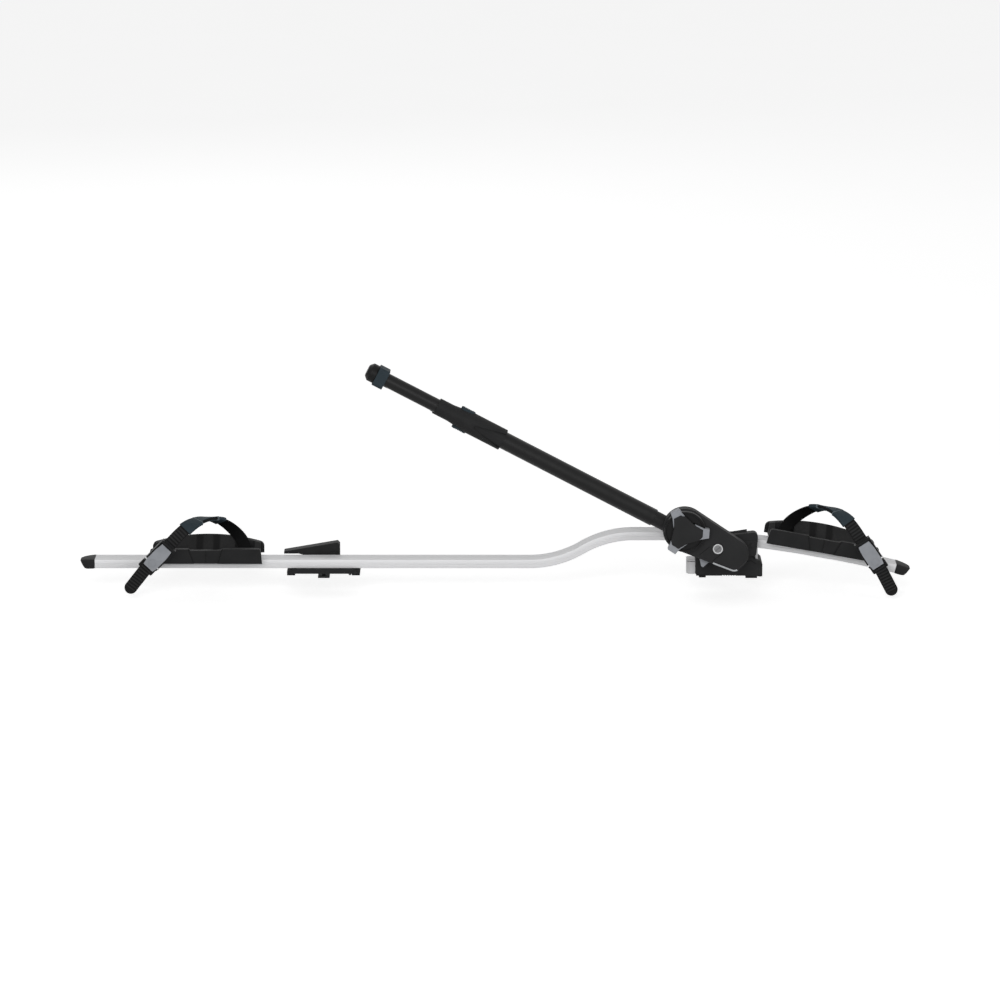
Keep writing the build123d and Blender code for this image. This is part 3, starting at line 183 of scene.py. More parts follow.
def stretched(
    tree: bpy.types.NodeTree, vector: object, scale: tuple, turn: tuple = (0.0, 0.0, 0.0)
) -> object:
    """Adds a mapping node that turns and scales a vector.

    Args:
        tree: The tree that it joins.
        vector: Socket with the vector.
        scale: Factor along each axis.
        turn: Turn about each axis, in radians.

    Returns:
        Its output socket.
    """
    node = tree.nodes.new("ShaderNodeMapping")
    node.inputs["Rotation"].default_value = turn
    node.inputs["Scale"].default_value = scale
    tree.links.new(vector, node.inputs["Vector"])
    return node.outputs["Vector"]


def noise(tree: bpy.types.NodeTree, vector: object, scale: object, detail: float = 2.0) -> object:
    """Adds a noise texture.

    Args:
        tree: The tree that it joins.
        vector: Socket with the place.
        scale: Socket or number for its scale.
        detail: Its detail.

    Returns:
        Its value socket.
    """
    node = tree.nodes.new("ShaderNodeTexNoise")
    node.inputs["Detail"].default_value = detail
    tree.links.new(vector, node.inputs["Vector"])
    if isinstance(scale, bpy.types.NodeSocket):
        tree.links.new(scale, node.inputs["Scale"])
    else:
        node.inputs["Scale"].default_value = scale
    return node.outputs["Fac"]


def ramp(tree: bpy.types.NodeTree, value: object, low: float, high: float) -> object:
    """Adds a clamped map that takes low..high to 0..1.

    Args:
        tree: The tree that it joins.
        value: Socket with the value.
        low: Value that becomes 0.
        high: Value that becomes 1.

    Returns:
        Its output socket.
    """
    node = tree.nodes.new("ShaderNodeMapRange")
    node.inputs["From Min"].default_value = low
    node.inputs["From Max"].default_value = high
    tree.links.new(value, node.inputs["Value"])
    return node.outputs["Result"]


class Effects:
    """Builds each shared node group once and hands it out by name."""

    def __init__(self) -> None:
        """Starts with no group built."""
        self.built: dict[str, bpy.types.NodeTree] = {}

    def group(self, name: str) -> bpy.types.NodeTree:
        """Returns the named group, built on its first use.

        Args:
            name: One of grain, scuffs, dust, streaks or line.

        Returns:
            The node group's tree.
        """
        if name not in self.built:
            self.built[name] = getattr(self, f"make_{name}")()
        return self.built[name]

    def make_grain(self) -> bpy.types.NodeTree:
        """Moulded or cast surface: fine pits over broad, soft mottling.

        Height is the fine noise with a third of a coarser one; Tone is the coarsest noise, stretched to 0..1.

        Returns:
            The group's tree.
        """
        inputs = {"Vector": ("NodeSocketVector", 0.0), "Scale": ("NodeSocketFloat", 1400.0)}
        outputs = {"Tone": "NodeSocketFloat", "Height": "NodeSocketFloat"}
        tree, start, end = open_group("surface_grain", inputs, outputs)
        vector, scale = start.outputs[:2]
        fine = noise(tree, vector, scale, detail=3.0)
        coarse = noise(tree, vector, math_node(tree, "MULTIPLY", scale, 0.35), detail=2.0)
        height = math_node(tree, "ADD", fine, math_node(tree, "MULTIPLY", coarse, 0.33))
        broad = noise(tree, vector, math_node(tree, "MULTIPLY", scale, 0.03), detail=4.0)
        tree.links.new(ramp(tree, broad, low=0.3, high=0.7), end.inputs["Tone"])
        tree.links.new(height, end.inputs["Height"])
        return tree

    def make_scuffs(self) -> bpy.types.NodeTree:
        """Handling marks: two sets of crossed hairlines, shown only in patches.

        Each hairline set is a noise squeezed along one slanted direction and cut off near its top.

        Returns:
            The group's tree.
        """
        inputs = {"Vector": ("NodeSocketVector", 0.0), "Amount": ("NodeSocketFloat", 0.3)}
        tree, start, end = open_group("handling_scuffs", inputs, {"Mask": "NodeSocketFloat"})
        vector, amount = start.outputs[:2]
        lines = None
        for slant in (0.5, -0.9):
            squeezed = stretched(tree, vector, scale=(60.0, 1500.0, 1500.0), turn=(0.3, slant, 0.2))
            hair = ramp(tree, noise(tree, squeezed, scale=1.0, detail=1.0), low=0.66, high=0.72)
            lines = hair if lines is None else math_node(tree, "MAXIMUM", lines, hair)
        patches = ramp(tree, noise(tree, vector, scale=22.0, detail=2.0), low=0.5, high=0.68)
        mask = math_node(tree, "MULTIPLY", math_node(tree, "MULTIPLY", lines, patches), amount)
        tree.links.new(mask, end.inputs["Mask"])
        return tree

    def make_dust(self) -> bpy.types.NodeTree:
        """Dust on faces that look up: the normal's height, stretched to 0..1 and broken up by noise.

        Returns:
            The group's tree.
        """
        inputs = {"Vector": ("NodeSocketVector", 0.0), "Amount": ("NodeSocketFloat", 0.2)}
        tree, start, end = open_group("settled_dust", inputs, {"Mask": "NodeSocketFloat"})
        vector, amount = start.outputs[:2]
        geometry = tree.nodes.new("ShaderNodeNewGeometry")
        split = tree.nodes.new("ShaderNodeSeparateXYZ")
        tree.links.new(geometry.outputs["Normal"], split.inputs[0])
        up = ramp(tree, split.outputs["Z"], low=0.35, high=1.0)
        motes = ramp(tree, noise(tree, vector, scale=260.0, detail=5.0), low=0.4, high=0.75)
        mask = math_node(tree, "MULTIPLY", math_node(tree, "MULTIPLY", up, motes), amount)
        tree.links.new(mask, end.inputs["Mask"])
        return tree

    def make_streaks(self) -> bpy.types.NodeTree:
        """Drawn metal: long hairlines in the rail's direction, in two finenesses.

        Returns:
            The group's tree.
        """
        inputs = {"Vector": ("NodeSocketVector", 0.0)}
        outputs = {"Tone": "NodeSocketFloat", "Height": "NodeSocketFloat"}
        tree, start, end = open_group("drawn_streaks", inputs, outputs)
        vector = start.outputs[0]
        fine = noise(tree, stretched(tree, vector, scale=(4.0, 5200.0, 5200.0)), scale=1.0, detail=2.0)
        broad = noise(tree, stretched(tree, vector, scale=(1.2, 700.0, 700.0)), scale=1.0, detail=3.0)
        fine_share = math_node(tree, "MULTIPLY", fine, 0.45)
        tone = math_node(tree, "ADD", fine_share, math_node(tree, "MULTIPLY", broad, 0.55))
        tree.links.new(ramp(tree, tone, low=0.35, high=0.65), end.inputs["Tone"])
        tree.links.new(fine, end.inputs["Height"])
        return tree

    def make_line(self) -> bpy.types.NodeTree:
        """A straight line mask, for seams and for bands of painted shade: near 1 within a width of a straight
        stretch between two points.

        The place is projected on the stretch and held between its ends, and the distance left is compared
        with the width.

        Returns:
            The group's tree.
        """
        inputs = {
            "Vector": ("NodeSocketVector", 0.0),
            "Start": ("NodeSocketVector", 0.0),
            "End": ("NodeSocketVector", 0.0),
            "Width": ("NodeSocketFloat", 0.0005),
        }
        tree, start, end = open_group("seam_and_shade_line", inputs, {"Mask": "NodeSocketFloat"})
        place, first, last, width = start.outputs[:4]
        run = vector_math(tree, "SUBTRACT", last, first).outputs["Vector"]
        gap = vector_math(tree, "SUBTRACT", place, first).outputs["Vector"]
        along = vector_math(tree, "DOT_PRODUCT", gap, run).outputs["Value"]
        square = vector_math(tree, "DOT_PRODUCT", run, run).outputs["Value"]
        share = math_node(tree, "DIVIDE", along, square)
        share = math_node(tree, "MINIMUM", math_node(tree, "MAXIMUM", share, 0.0), 1.0)
        scaled = tree.nodes.new("ShaderNodeVectorMath")
        scaled.operation = "SCALE"
        tree.links.new(run, scaled.inputs[0])
        tree.links.new(share, scaled.inputs["Scale"])
        foot = vector_math(tree, "ADD", first, scaled.outputs["Vector"]).outputs["Vector"]
        distance = vector_math(tree, "DISTANCE", place, foot).outputs["Value"]
        near = math_node(tree, "SUBTRACT", 1.0, math_node(tree, "DIVIDE", distance, width))
        steep = math_node(tree, "MULTIPLY", near, 2.0)
        mask = math_node(tree, "MINIMUM", math_node(tree, "MAXIMUM", steep, 0.0), 1.0)
        tree.links.new(mask, end.inputs["Mask"])
        return tree


EFFECTS = Effects()


def place_group(tree: bpy.types.NodeTree, name: str, vector: object, values: dict[str, object]) -> object:
    """Places a shared group in a material and sets its inputs.

    Args:
        tree: The material's tree.
        name: Name of the effect.
        vector: Socket with the place on the surface.
        values: Values for the group's other inputs.

    Returns:
        The placed group node.
    """
    node = tree.nodes.new("ShaderNodeGroup")
    node.node_tree = EFFECTS.group(name)
    tree.links.new(vector, node.inputs["Vector"])
    for label, value in values.items():
        node.inputs[label].default_value = value
    return node


# Finishes


@dataclass(frozen=True)
class Finish:
    """A finish that one kind of piece has, with its colours as a screen shows them."""

    name: str
    slot: Slot
    colour: Colour
    mottle: Colour
    roughness: float
    roughness_spread: float = 0.08
    metallic: float = 0.0
    specular: float = 0.5
    grain_scale: float = 1400.0
    grain_depth: float = 0.00002
    scuffs: float = 0.25
    scuff_colour: Colour = (0.42, 0.42, 0.43)
    dust: float = 0.03
    streaked: bool = False
    lines: tuple = ()
    raised: Colour | None = None

    def material(self) -> bpy.types.Material:
        """Returns the finish's material, built on its first use."""
        ready = bpy.data.materials.get(self.name)
        return ready if ready else self.build()

    def build(self) -> bpy.types.Material:
        """Builds the node tree: mottled colour, scuffs, dust, and dark lines for seams and for painted shade,
        with roughness and bump.

        Returns:
            The new material.
        """
        material = bpy.data.materials.new(self.name)
        material.use_nodes = True
        tree = material.node_tree
        shader = tree.nodes["Principled BSDF"]
        shader.inputs["Metallic"].default_value = self.metallic
        shader.inputs["Specular IOR Level"].default_value = self.specular
        place = tree.nodes.new("ShaderNodeTexCoord").outputs["Object"]
        grain = place_group(tree, "grain", place, {"Scale": self.grain_scale})
        tone, height = grain.outputs["Tone"], grain.outputs["Height"]
        if self.streaked:
            lay = tree.nodes.new("ShaderNodeAttribute")
            lay.attribute_name = "lay"
            streaks = place_group(tree, "streaks", lay.outputs["Vector"], {})
            tone, height = streaks.outputs["Tone"], streaks.outputs["Height"]
        scuffs = place_group(tree, "scuffs", place, {"Amount": self.scuffs}).outputs["Mask"]
        dust = place_group(tree, "dust", place, {"Amount": self.dust}).outputs["Mask"]
        colour = self.mixed(tree, tone, linear(self.colour), linear(self.mottle))
        colour = self.mixed(tree, scuffs, colour, linear(self.scuff_colour))
        colour = self.mixed(tree, dust, colour, linear(DUST_COLOUR))
        if self.raised:
            rib = tree.nodes.new("ShaderNodeAttribute")
            rib.attribute_name = "lay"
            split = tree.nodes.new("ShaderNodeSeparateXYZ")
            tree.links.new(rib.outputs["Vector"], split.inputs[0])
            colour = self.mixed(tree, split.outputs["X"], colour, linear(self.raised))
        # Dark lines: real seams, and on the trays also painted shade in the gaps between the wall pads.
        for first, last, width in self.lines:
            ends = {"Start": first, "End": last, "Width": width}
            line = place_group(tree, "line", place, ends).outputs["Mask"]
            colour = self.mixed(tree, line, colour, linear(SEAM_AND_SHADE_COLOUR))
            height = math_node(tree, "SUBTRACT", height, math_node(tree, "MULTIPLY", line, LINE_DEPTH))
        tree.links.new(colour, shader.inputs["Base Color"])
        spread = math_node(tree, "MULTIPLY", tone, self.roughness_spread)
        rough = math_node(tree, "ADD", self.roughness, spread)
        rough = math_node(tree, "ADD", rough, math_node(tree, "MULTIPLY", scuffs, SCUFF_ROUGHNESS))
        tree.links.new(rough, shader.inputs["Roughness"])
        bump = tree.nodes.new("ShaderNodeBump")
        bump.inputs["Strength"].default_value = BUMP_STRENGTH
        bump.inputs["Distance"].default_value = self.grain_depth
        tree.links.new(height, bump.inputs["Height"])
        tree.links.new(bump.outputs["Normal"], shader.inputs["Normal"])
        return material

    def mixed(self, tree: bpy.types.NodeTree, factor: object, first: object, second: object) -> object:
        """Adds a colour mix.

        Args:
            tree: The tree that it joins.
            factor: Socket with the share of the second colour.
            first: Socket or colour.
            second: Socket or colour.

        Returns:
            Its result socket.
        """
        node = tree.nodes.new("ShaderNodeMix")
        node.data_type = "RGBA"
        tree.links.new(factor, node.inputs["Factor"])
        for socket, value in ((node.inputs[6], first), (node.inputs[7], second)):
            if isinstance(value, bpy.types.NodeSocket):
                tree.links.new(value, socket)
            else:
                socket.default_value = value
        return node.outputs[2]


ALUMINIUM = Finish(
    "satin_drawn_aluminium", Slot.RAIL, (0.84, 0.84, 0.845), (0.90, 0.90, 0.905), 0.45, 0.12, metallic=0.15,
    grain_depth=0.00001, scuffs=0.1, scuff_colour=(0.7, 0.7, 0.7), dust=0.02, streaked=True, specular=0.12,
)
CAST = Finish(
    "cast_aluminium_skin", Slot.CAST, (0.78, 0.78, 0.785), (0.72, 0.72, 0.725), 0.45, 0.16, metallic=0.4,
    grain_scale=900.0, grain_depth=0.00008, dust=0.04,
)
CHARCOAL = Finish(
    "charcoal_moulded_plastic", Slot.BLACK, (0.125, 0.126, 0.128), (0.15, 0.151, 0.153), 0.55, specular=0.1,
    scuffs=0.12, scuff_colour=(0.3, 0.3, 0.31),
)
COVER = replace(
    CHARCOAL, name="charcoal_cover_plastic", colour=(0.145, 0.146, 0.148), mottle=(0.165, 0.166, 0.168)
)
JET = Finish(
    "gloss_black_plastic", Slot.BLACK, (0.05, 0.051, 0.053), (0.07, 0.071, 0.073), 0.4, specular=0.14,
    scuffs=0.12, scuff_colour=(0.25, 0.25, 0.26),
)
GREY = Finish(
    "mid_grey_soft_plastic", Slot.GREY, (0.53, 0.54, 0.56), (0.58, 0.59, 0.61), 0.45, specular=0.3,
    scuffs=0.15, scuff_colour=(0.7, 0.7, 0.71),
)
# Pale grey for the strip along the arm cover's lower edge, which is a painted highlight.
HIGHLIGHT_STRIP = Finish(
    "painted_highlight_plastic", Slot.GREY, (0.66, 0.67, 0.68), (0.71, 0.72, 0.73), 0.4, specular=0.3,
    scuffs=0.1, scuff_colour=(0.8, 0.8, 0.8), dust=0.02,
)
RUBBER = Finish(
    "black_soft_rubber", Slot.RUBBER, (0.075, 0.076, 0.078), (0.1, 0.101, 0.103), 0.65, specular=0.12,
    grain_scale=2200.0, grain_depth=0.00003, scuffs=0.1, scuff_colour=(0.25, 0.25, 0.26), dust=0.04,
)
BLUE_RUBBER = replace(
    RUBBER, name="blue_grey_rubber", colour=(0.15, 0.19, 0.21), mottle=(0.175, 0.215, 0.24), roughness=0.62,
    specular=0.14, scuff_colour=(0.3, 0.33, 0.35),
)
STRAP = replace(
    RUBBER, name="ribbed_strap_rubber", colour=(0.03, 0.03, 0.032), mottle=(0.05, 0.05, 0.052), roughness=0.6,
    specular=0.14, scuff_colour=(0.2, 0.2, 0.21), dust=0.03, raised=(0.15, 0.151, 0.153),
)
LOCK = Finish(
    "dull_lock_face", Slot.STEEL, (0.42, 0.42, 0.425), (0.5, 0.5, 0.505), 0.45, 0.1, metallic=0.5, dust=0.02,
)
LIP = replace(
    RUBBER, name="worn_rubber_lip", colour=(0.42, 0.45, 0.47), mottle=(0.36, 0.39, 0.41), roughness=0.6,
    specular=0.14, scuff_colour=(0.42, 0.42, 0.43), dust=0.02,
)
TUBE = Finish(
    "powder_coated_tube", Slot.METAL, (0.03, 0.03, 0.032), (0.045, 0.045, 0.047), 0.3, specular=0.22,
    grain_scale=2600.0, grain_depth=0.00003, scuffs=0.08, scuff_colour=(0.25, 0.25, 0.26), dust=0.02,
)
BLACK_METAL = Finish(
    "black_bracket_metal", Slot.METAL, (0.08, 0.08, 0.082), (0.11, 0.11, 0.112), 0.5, specular=0.2,
    grain_scale=900.0, grain_depth=0.00006, scuffs=0.15, scuff_colour=(0.3, 0.3, 0.3),
)
STEEL = Finish(
    "bright_zinc_steel", Slot.STEEL, (0.74, 0.74, 0.745), (0.64, 0.64, 0.64), 0.28, 0.2, metallic=0.9,
    scuff_colour=(0.5, 0.5, 0.5),
)


# Meshes


def make_piece(
    name: str, points: Array, faces: list, finish: Finish, beside: str, smooth: float = 35.0,
    lay: Array | None = None,
) -> bpy.types.Object:
    """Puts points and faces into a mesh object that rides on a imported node's body.

    Args:
        name: Name of the piece.
        points: Vertex places, one row each.
        faces: Lists of vertex numbers.
        finish: The finish that the piece is given.
        beside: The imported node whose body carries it.
        smooth: Angle in degrees under which neighbouring faces shade smoothly.
        lay: Place of each point along and across the piece, for a finish whose pattern follows it.

    Returns:
        The new object.
    """
    mesh = bpy.data.meshes.new(name)
    mesh.from_pydata(np.asarray(points, float).reshape(-1, 3).tolist(), [], faces)
    shape = bmesh.new()
    shape.from_mesh(mesh)
    bmesh.ops.remove_doubles(shape, verts=shape.verts, dist=MERGE_NEW)
    bmesh.ops.recalc_face_normals(shape, faces=shape.faces)
    shape.to_mesh(mesh)
    shape.free()
    if lay is not None:
        attribute = mesh.attributes.new("lay", "FLOAT_VECTOR", "POINT")
        attribute.data.foreach_set("vector", np.asarray(lay, np.float32).ravel())
    mesh.shade_smooth()
    mesh.set_sharp_from_angle(angle=math.radians(smooth))
    piece = bpy.data.objects.new(name, mesh)
    bpy.context.scene.collection.objects.link(piece)
    mesh.materials.append(finish.material())
    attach(piece, frame["nodes"][beside]["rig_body"])
    return piece


def tube_faces(rows: int, columns: int) -> list:
    """Faces of a grid whose columns close on themselves, with a face over each end.

    Args:
        rows: Number of sections along the piece.
        columns: Points in each closed section.

    Returns:
        Lists of vertex numbers.
    """
    index = np.arange(rows * columns).reshape(rows, columns)
    beside = np.roll(index, -1, axis=1)
    quads = np.stack([index[:-1], beside[:-1], beside[1:], index[1:]], axis=-1).reshape(-1, 4)
    return [*quads.tolist(), index[0, ::-1].tolist(), index[-1].tolist()]


def ring_faces(rows: int, columns: int) -> list:
    """Faces of a grid that closes on itself both ways.

    Args:
        rows: Number of sections round the piece.
        columns: Points in each closed section.

    Returns:
        Lists of vertex numbers.
    """
    index = np.arange(rows * columns).reshape(rows, columns)
    below = np.roll(index, -1, axis=0)
    quads = np.stack([index, np.roll(index, -1, axis=1), np.roll(below, -1, axis=1), below], axis=-1)
    return quads.reshape(-1, 4).tolist()


def carried(places: Array, sides: Array, ups: Array, profile: Array) -> Array:
    """Carries a profile along a path.

    A point is the path's place, plus the profile's first number along the side direction there and its second
    along the up direction.

    Args:
        places: Places on the path, one row each.
        sides: Unit direction that the profile's first number runs in, at each place.
        ups: Unit direction that the profile's second number runs in, at each place.
        profile: The profile's points, one set for all places or one for each.

    Returns:
        A grid of points, one row of them for each place.
    """
    return places[:, None] + profile[..., :1] * sides[:, None] + profile[..., 1:] * ups[:, None]


def rounded_loop(half_width: float, half_height: float, radius: float, steps: int = 4) -> Array:
    """Closed rectangle with round corners: each corner is a quarter circle about its own centre.

    Args:
        half_width: Half of the rectangle's width.
        half_height: Half of its height.
        radius: Radius of its corners.
        steps: Points on each corner, less one.

    Returns:
        The loop's points, once round.
    """
    angles = np.linspace(0.0, math.pi / 2, steps + 1)
    quarter = radius * np.column_stack([np.cos(angles), np.sin(angles)])
    centres = np.array([[1, 1], [-1, 1], [-1, -1], [1, -1]]) * [half_width - radius, half_height - radius]
    turns = np.array([[[1, 0], [0, 1]], [[0, 1], [-1, 0]], [[-1, 0], [0, -1]], [[0, -1], [1, 0]]])
    return (centres[:, None] + quarter @ turns).reshape(-1, 2)


def leaned(points: Array, lean: float) -> Array:
    """Turns points about the Y axis, so that +X leans towards -Z.

    Args:
        points: Places, with X, Y and Z last.
        lean: Angle in degrees.

    Returns:
        The turned places.
    """
    angle = math.radians(lean)
    cosine, sine = math.cos(angle), math.sin(angle)
    x, y, z = points[..., 0], points[..., 1], points[..., 2]
    return np.stack([x * cosine + z * sine, y, z * cosine - x * sine], axis=-1)


def revolved(centre: Array, axis: Array, profile: Array, count: int = 48) -> Array:
    """Turns a profile round an axis: a point stands at its radius round the axis and its height along it.

    Args:
        centre: A point on the axis.
        axis: Unit direction of the axis, which isn't upright.
        profile: Radius and height of each point.
        count: Places round the axis.

    Returns:
        A grid of points, one row for each place round the axis.
    """
    axis = np.asarray(axis, float)
    across = np.cross(axis, [0.0, 0.0, 1.0])
    across /= np.linalg.norm(across)
    angles = np.linspace(0.0, 2 * math.pi, count, endpoint=False)[:, None]
    out = np.cos(angles) * across + np.sin(angles) * np.cross(axis, across)
    places = np.repeat(np.asarray(centre, float)[None], count, axis=0)
    return carried(places, out, np.repeat(axis[None], count, axis=0), np.asarray(profile, float))


def smooth_course(points: Array, first: Array, last: Array, count: int) -> Array:
    """Smooth curve through points, by cubics whose slopes keep the bend continuous at each point.

    The parameter is the length of the straight lines between the points, and the slopes at inner points solve
    the equations that make the second derivative continuous; the slopes at the ends are given.

    Args:
        points: The points, one row each.
        first: Direction at the first point.
        last: Direction at the last point.
        count: Points of the result.

    Returns:
        Points on the curve, one row each.
    """
    steps = np.linalg.norm(np.diff(points, axis=0), axis=1)
    knots = np.concatenate([[0.0], np.cumsum(steps)])
    inner = len(points) - 2
    matrix = np.zeros((inner, inner + 2))
    rows = np.arange(inner)
    matrix[rows, rows] = 1 / steps[:-1]
    matrix[rows, rows + 1] = 2 / steps[:-1] + 2 / steps[1:]
    matrix[rows, rows + 2] = 1 / steps[1:]
    chords = np.diff(points, axis=0) / steps[:, None] ** 2
    right = 3 * (chords[:-1] + chords[1:])
    right -= matrix[:, :1] * first + matrix[:, -1:] * last
    slopes = np.vstack([first, np.linalg.solve(matrix[:, 1:-1], right), last])
    at = np.linspace(0.0, knots[-1], count)
    index = np.clip(np.searchsorted(knots, at, side="right") - 1, 0, inner)
    length = steps[index][:, None]
    t = (at - knots[index])[:, None] / length
    return (
        (2 * t**3 - 3 * t**2 + 1) * points[index] + (t**3 - 2 * t**2 + t) * length * slopes[index]
        + (3 * t**2 - 2 * t**3) * points[index + 1] + (t**3 - t**2) * length * slopes[index + 1]
    )


def add_bevel(piece: bpy.types.Object, width: float, segments: int, angle: float) -> bpy.types.Modifier:
    """Adds a rounding along a piece's sharp edges.

    Args:
        piece: The piece.
        width: Width of the rounding.
        segments: Faces across it.
        angle: Edges sharper than this many degrees are rounded.

    Returns:
        The modifier.
    """
    rounding = piece.modifiers.new("rounding", "BEVEL")
    rounding.width = width
    rounding.segments = segments
    rounding.limit_method = "ANGLE"
    rounding.angle_limit = math.radians(angle)
    return rounding


def softened(name: str, finish: Finish, width: float, segments: int = 2) -> bpy.types.Object:
    """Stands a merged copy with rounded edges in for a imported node.

    Args:
        name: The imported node's name.
        finish: The finish that the copy is given.
        width: Width of the rounding along its edges.
        segments: Faces across the rounding.

    Returns:
        The copy, which replaces the node.
    """
    node = frame["nodes"][name]
    shape = bmesh.new()
    shape.from_mesh(node.data)
    bmesh.ops.remove_doubles(shape, verts=shape.verts, dist=MERGE_PACKED)
    flat = math.radians(FLAT_ANGLE)
    bmesh.ops.dissolve_limit(shape, angle_limit=flat, verts=shape.verts, edges=shape.edges)
    mesh = bpy.data.meshes.new(f"{name}_soft")
    shape.to_mesh(mesh)
    shape.free()
    mesh.shade_smooth()
    mesh.set_sharp_from_angle(angle=math.radians(SOFT_ANGLE))
    mesh.materials.append(finish.material())
    piece = bpy.data.objects.new(f"{name}_soft", mesh)
    bpy.context.scene.collection.objects.link(piece)
    rounding = add_bevel(piece, width, segments, BEVEL_ANGLE)
    rounding.harden_normals = True
    rounding.use_clamp_overlap = True
    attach(piece, node["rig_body"])
    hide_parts(name)
    return piece


def dress(name: str, finish: Finish) -> None:
    """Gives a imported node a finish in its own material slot.

    Args:
        name: The node's name.
        finish: The finish that it is given.
    """
    node = frame["nodes"][name]
    node.data.materials.clear()
    node.data.materials.append(finish.material())


def finish_nodes(rows: tuple) -> None:
    """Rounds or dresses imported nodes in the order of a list.

    Args:
        rows: Each node's name and finish, and for a rounded one the rounding's width and the faces across it.
    """
    for name, finish, *rounding in rows:
        if rounding:
            softened(name, finish, *rounding)
        else:
            dress(name, finish)


# Studio


@dataclass
class Studio:
    """Floor, light and camera of the product photograph."""

    aim: tuple[float, float, float] = (-0.3957, 0.0, 0.1285)
    distance: float = 8.0
    elevation: float = 13.0
    lens: float = 166.67
    floor_z: float = -0.037
    floor_half: float = 60.0
    daylight: float = 0.34
    floor_glow: float = 0.62
    floor_tones: tuple[float, float] = (0.8, 0.82)

    def build(self) -> None:
        """Builds the camera, the world, the lamps and the floor."""
        self.place_camera()
        self.light_world()
        self.hang_lamp("key_lamp", place=(-1.2, -5.5, 2.4), size=3.0, power=150.0)
        self.hang_lamp("fill_lamp", place=(3.2, -3.4, 1.6), size=2.0, power=40.0)
        self.hang_lamp("back_lamp", place=(-1.4, 4.0, 2.6), size=2.4, power=14.0)
        self.lay_floor()
        bpy.context.scene.view_settings.view_transform = "Standard"

    def place_camera(self) -> None:
        """Puts the camera at the photograph's angle, looking along +Y and a little down."""
        lens = bpy.data.cameras.new("photo_camera")
        lens.lens = self.lens
        lens.sensor_width = 36.0
        lens.clip_end = 200.0
        camera = bpy.data.objects.new("photo_camera", lens)
        lean = math.radians(self.elevation)
        back = Vector((0.0, -math.cos(lean), math.sin(lean)))
        camera.location = Vector(self.aim) + back * self.distance
        camera.rotation_euler = (math.radians(90.0 - self.elevation), 0.0, 0.0)
        bpy.context.scene.collection.objects.link(camera)
        bpy.context.scene.camera = camera

    def seen(self, tree: bpy.types.NodeTree) -> object:
        """Adds a mask that is 1 for camera, glossy and transmission rays.

        Args:
            tree: The tree that it joins.

        Returns:
            Its socket.
        """
        path = tree.nodes.new("ShaderNodeLightPath")
        shown = math_node(tree, "MAXIMUM", path.outputs["Is Camera Ray"], path.outputs["Is Glossy Ray"])
        return math_node(tree, "MAXIMUM", shown, path.outputs["Is Transmission Ray"])

    def light_world(self) -> None:
        """Makes a plain white surround that is seen at full strength and lights at a plain level."""
        world = bpy.data.worlds.new("studio")
        bpy.context.scene.world = world
        world.use_nodes = True
        tree = world.node_tree
        background = tree.nodes["Background"]
        background.inputs["Color"].default_value = (1.0, 1.0, 1.0, 1.0)
        extra = math_node(tree, "MULTIPLY", self.seen(tree), 1.0 - self.daylight)
        tree.links.new(math_node(tree, "ADD", extra, self.daylight), background.inputs["Strength"])

    def hang_lamp(self, name: str, place: tuple[float, float, float], size: float, power: float) -> None:
        """Hangs a square soft lamp that looks at the middle of the carrier.

        Args:
            name: Name of the lamp.
            place: Where it hangs.
            size: Side of its square.
            power: Its power in watts.
        """
        lamp = bpy.data.lights.new(name, "AREA")
        lamp.size = size
        lamp.energy = power
        hung = bpy.data.objects.new(name, lamp)
        hung.location = place
        hung.rotation_euler = (Vector(self.aim) - Vector(place)).to_track_quat("-Z", "Y").to_euler()
        bpy.context.scene.collection.objects.link(hung)

    def lay_floor(self) -> None:
        """Lays a white floor that keeps the carrier's soft shadow."""
        half = self.floor_half
        corners = np.array([[-half, -half], [half, -half], [half, half], [-half, half]])
        points = np.column_stack([corners, np.full(4, self.floor_z)])
        mesh = bpy.data.meshes.new("floor")
        mesh.from_pydata(points.tolist(), [], [[0, 1, 2, 3]])
        floor = bpy.data.objects.new("floor", mesh)
        bpy.context.scene.collection.objects.link(floor)
        material = bpy.data.materials.new("white_floor")
        material.use_nodes = True
        tree = material.node_tree
        shader = tree.nodes["Principled BSDF"]
        place = tree.nodes.new("ShaderNodeTexCoord").outputs["Object"]
        tone = ramp(tree, noise(tree, place, scale=3.0, detail=3.0), low=0.0, high=1.0)
        mix = tree.nodes.new("ShaderNodeMix")
        mix.data_type = "RGBA"
        for socket, grey in zip((mix.inputs[6], mix.inputs[7]), self.floor_tones):
            socket.default_value = (grey, grey, grey, 1.0)
        tree.links.new(tone, mix.inputs["Factor"])
        tree.links.new(mix.outputs[2], shader.inputs["Base Color"])
        shader.inputs["Roughness"].default_value = 0.9
        shader.inputs["Specular IOR Level"].default_value = 0.0
        shader.inputs["Emission Color"].default_value = (1.0, 1.0, 1.0, 1.0)
        glow = math_node(tree, "MULTIPLY", self.seen(tree), self.floor_glow)
        tree.links.new(glow, shader.inputs["Emission Strength"])
        mesh.materials.append(material)


# Sub-assemblies


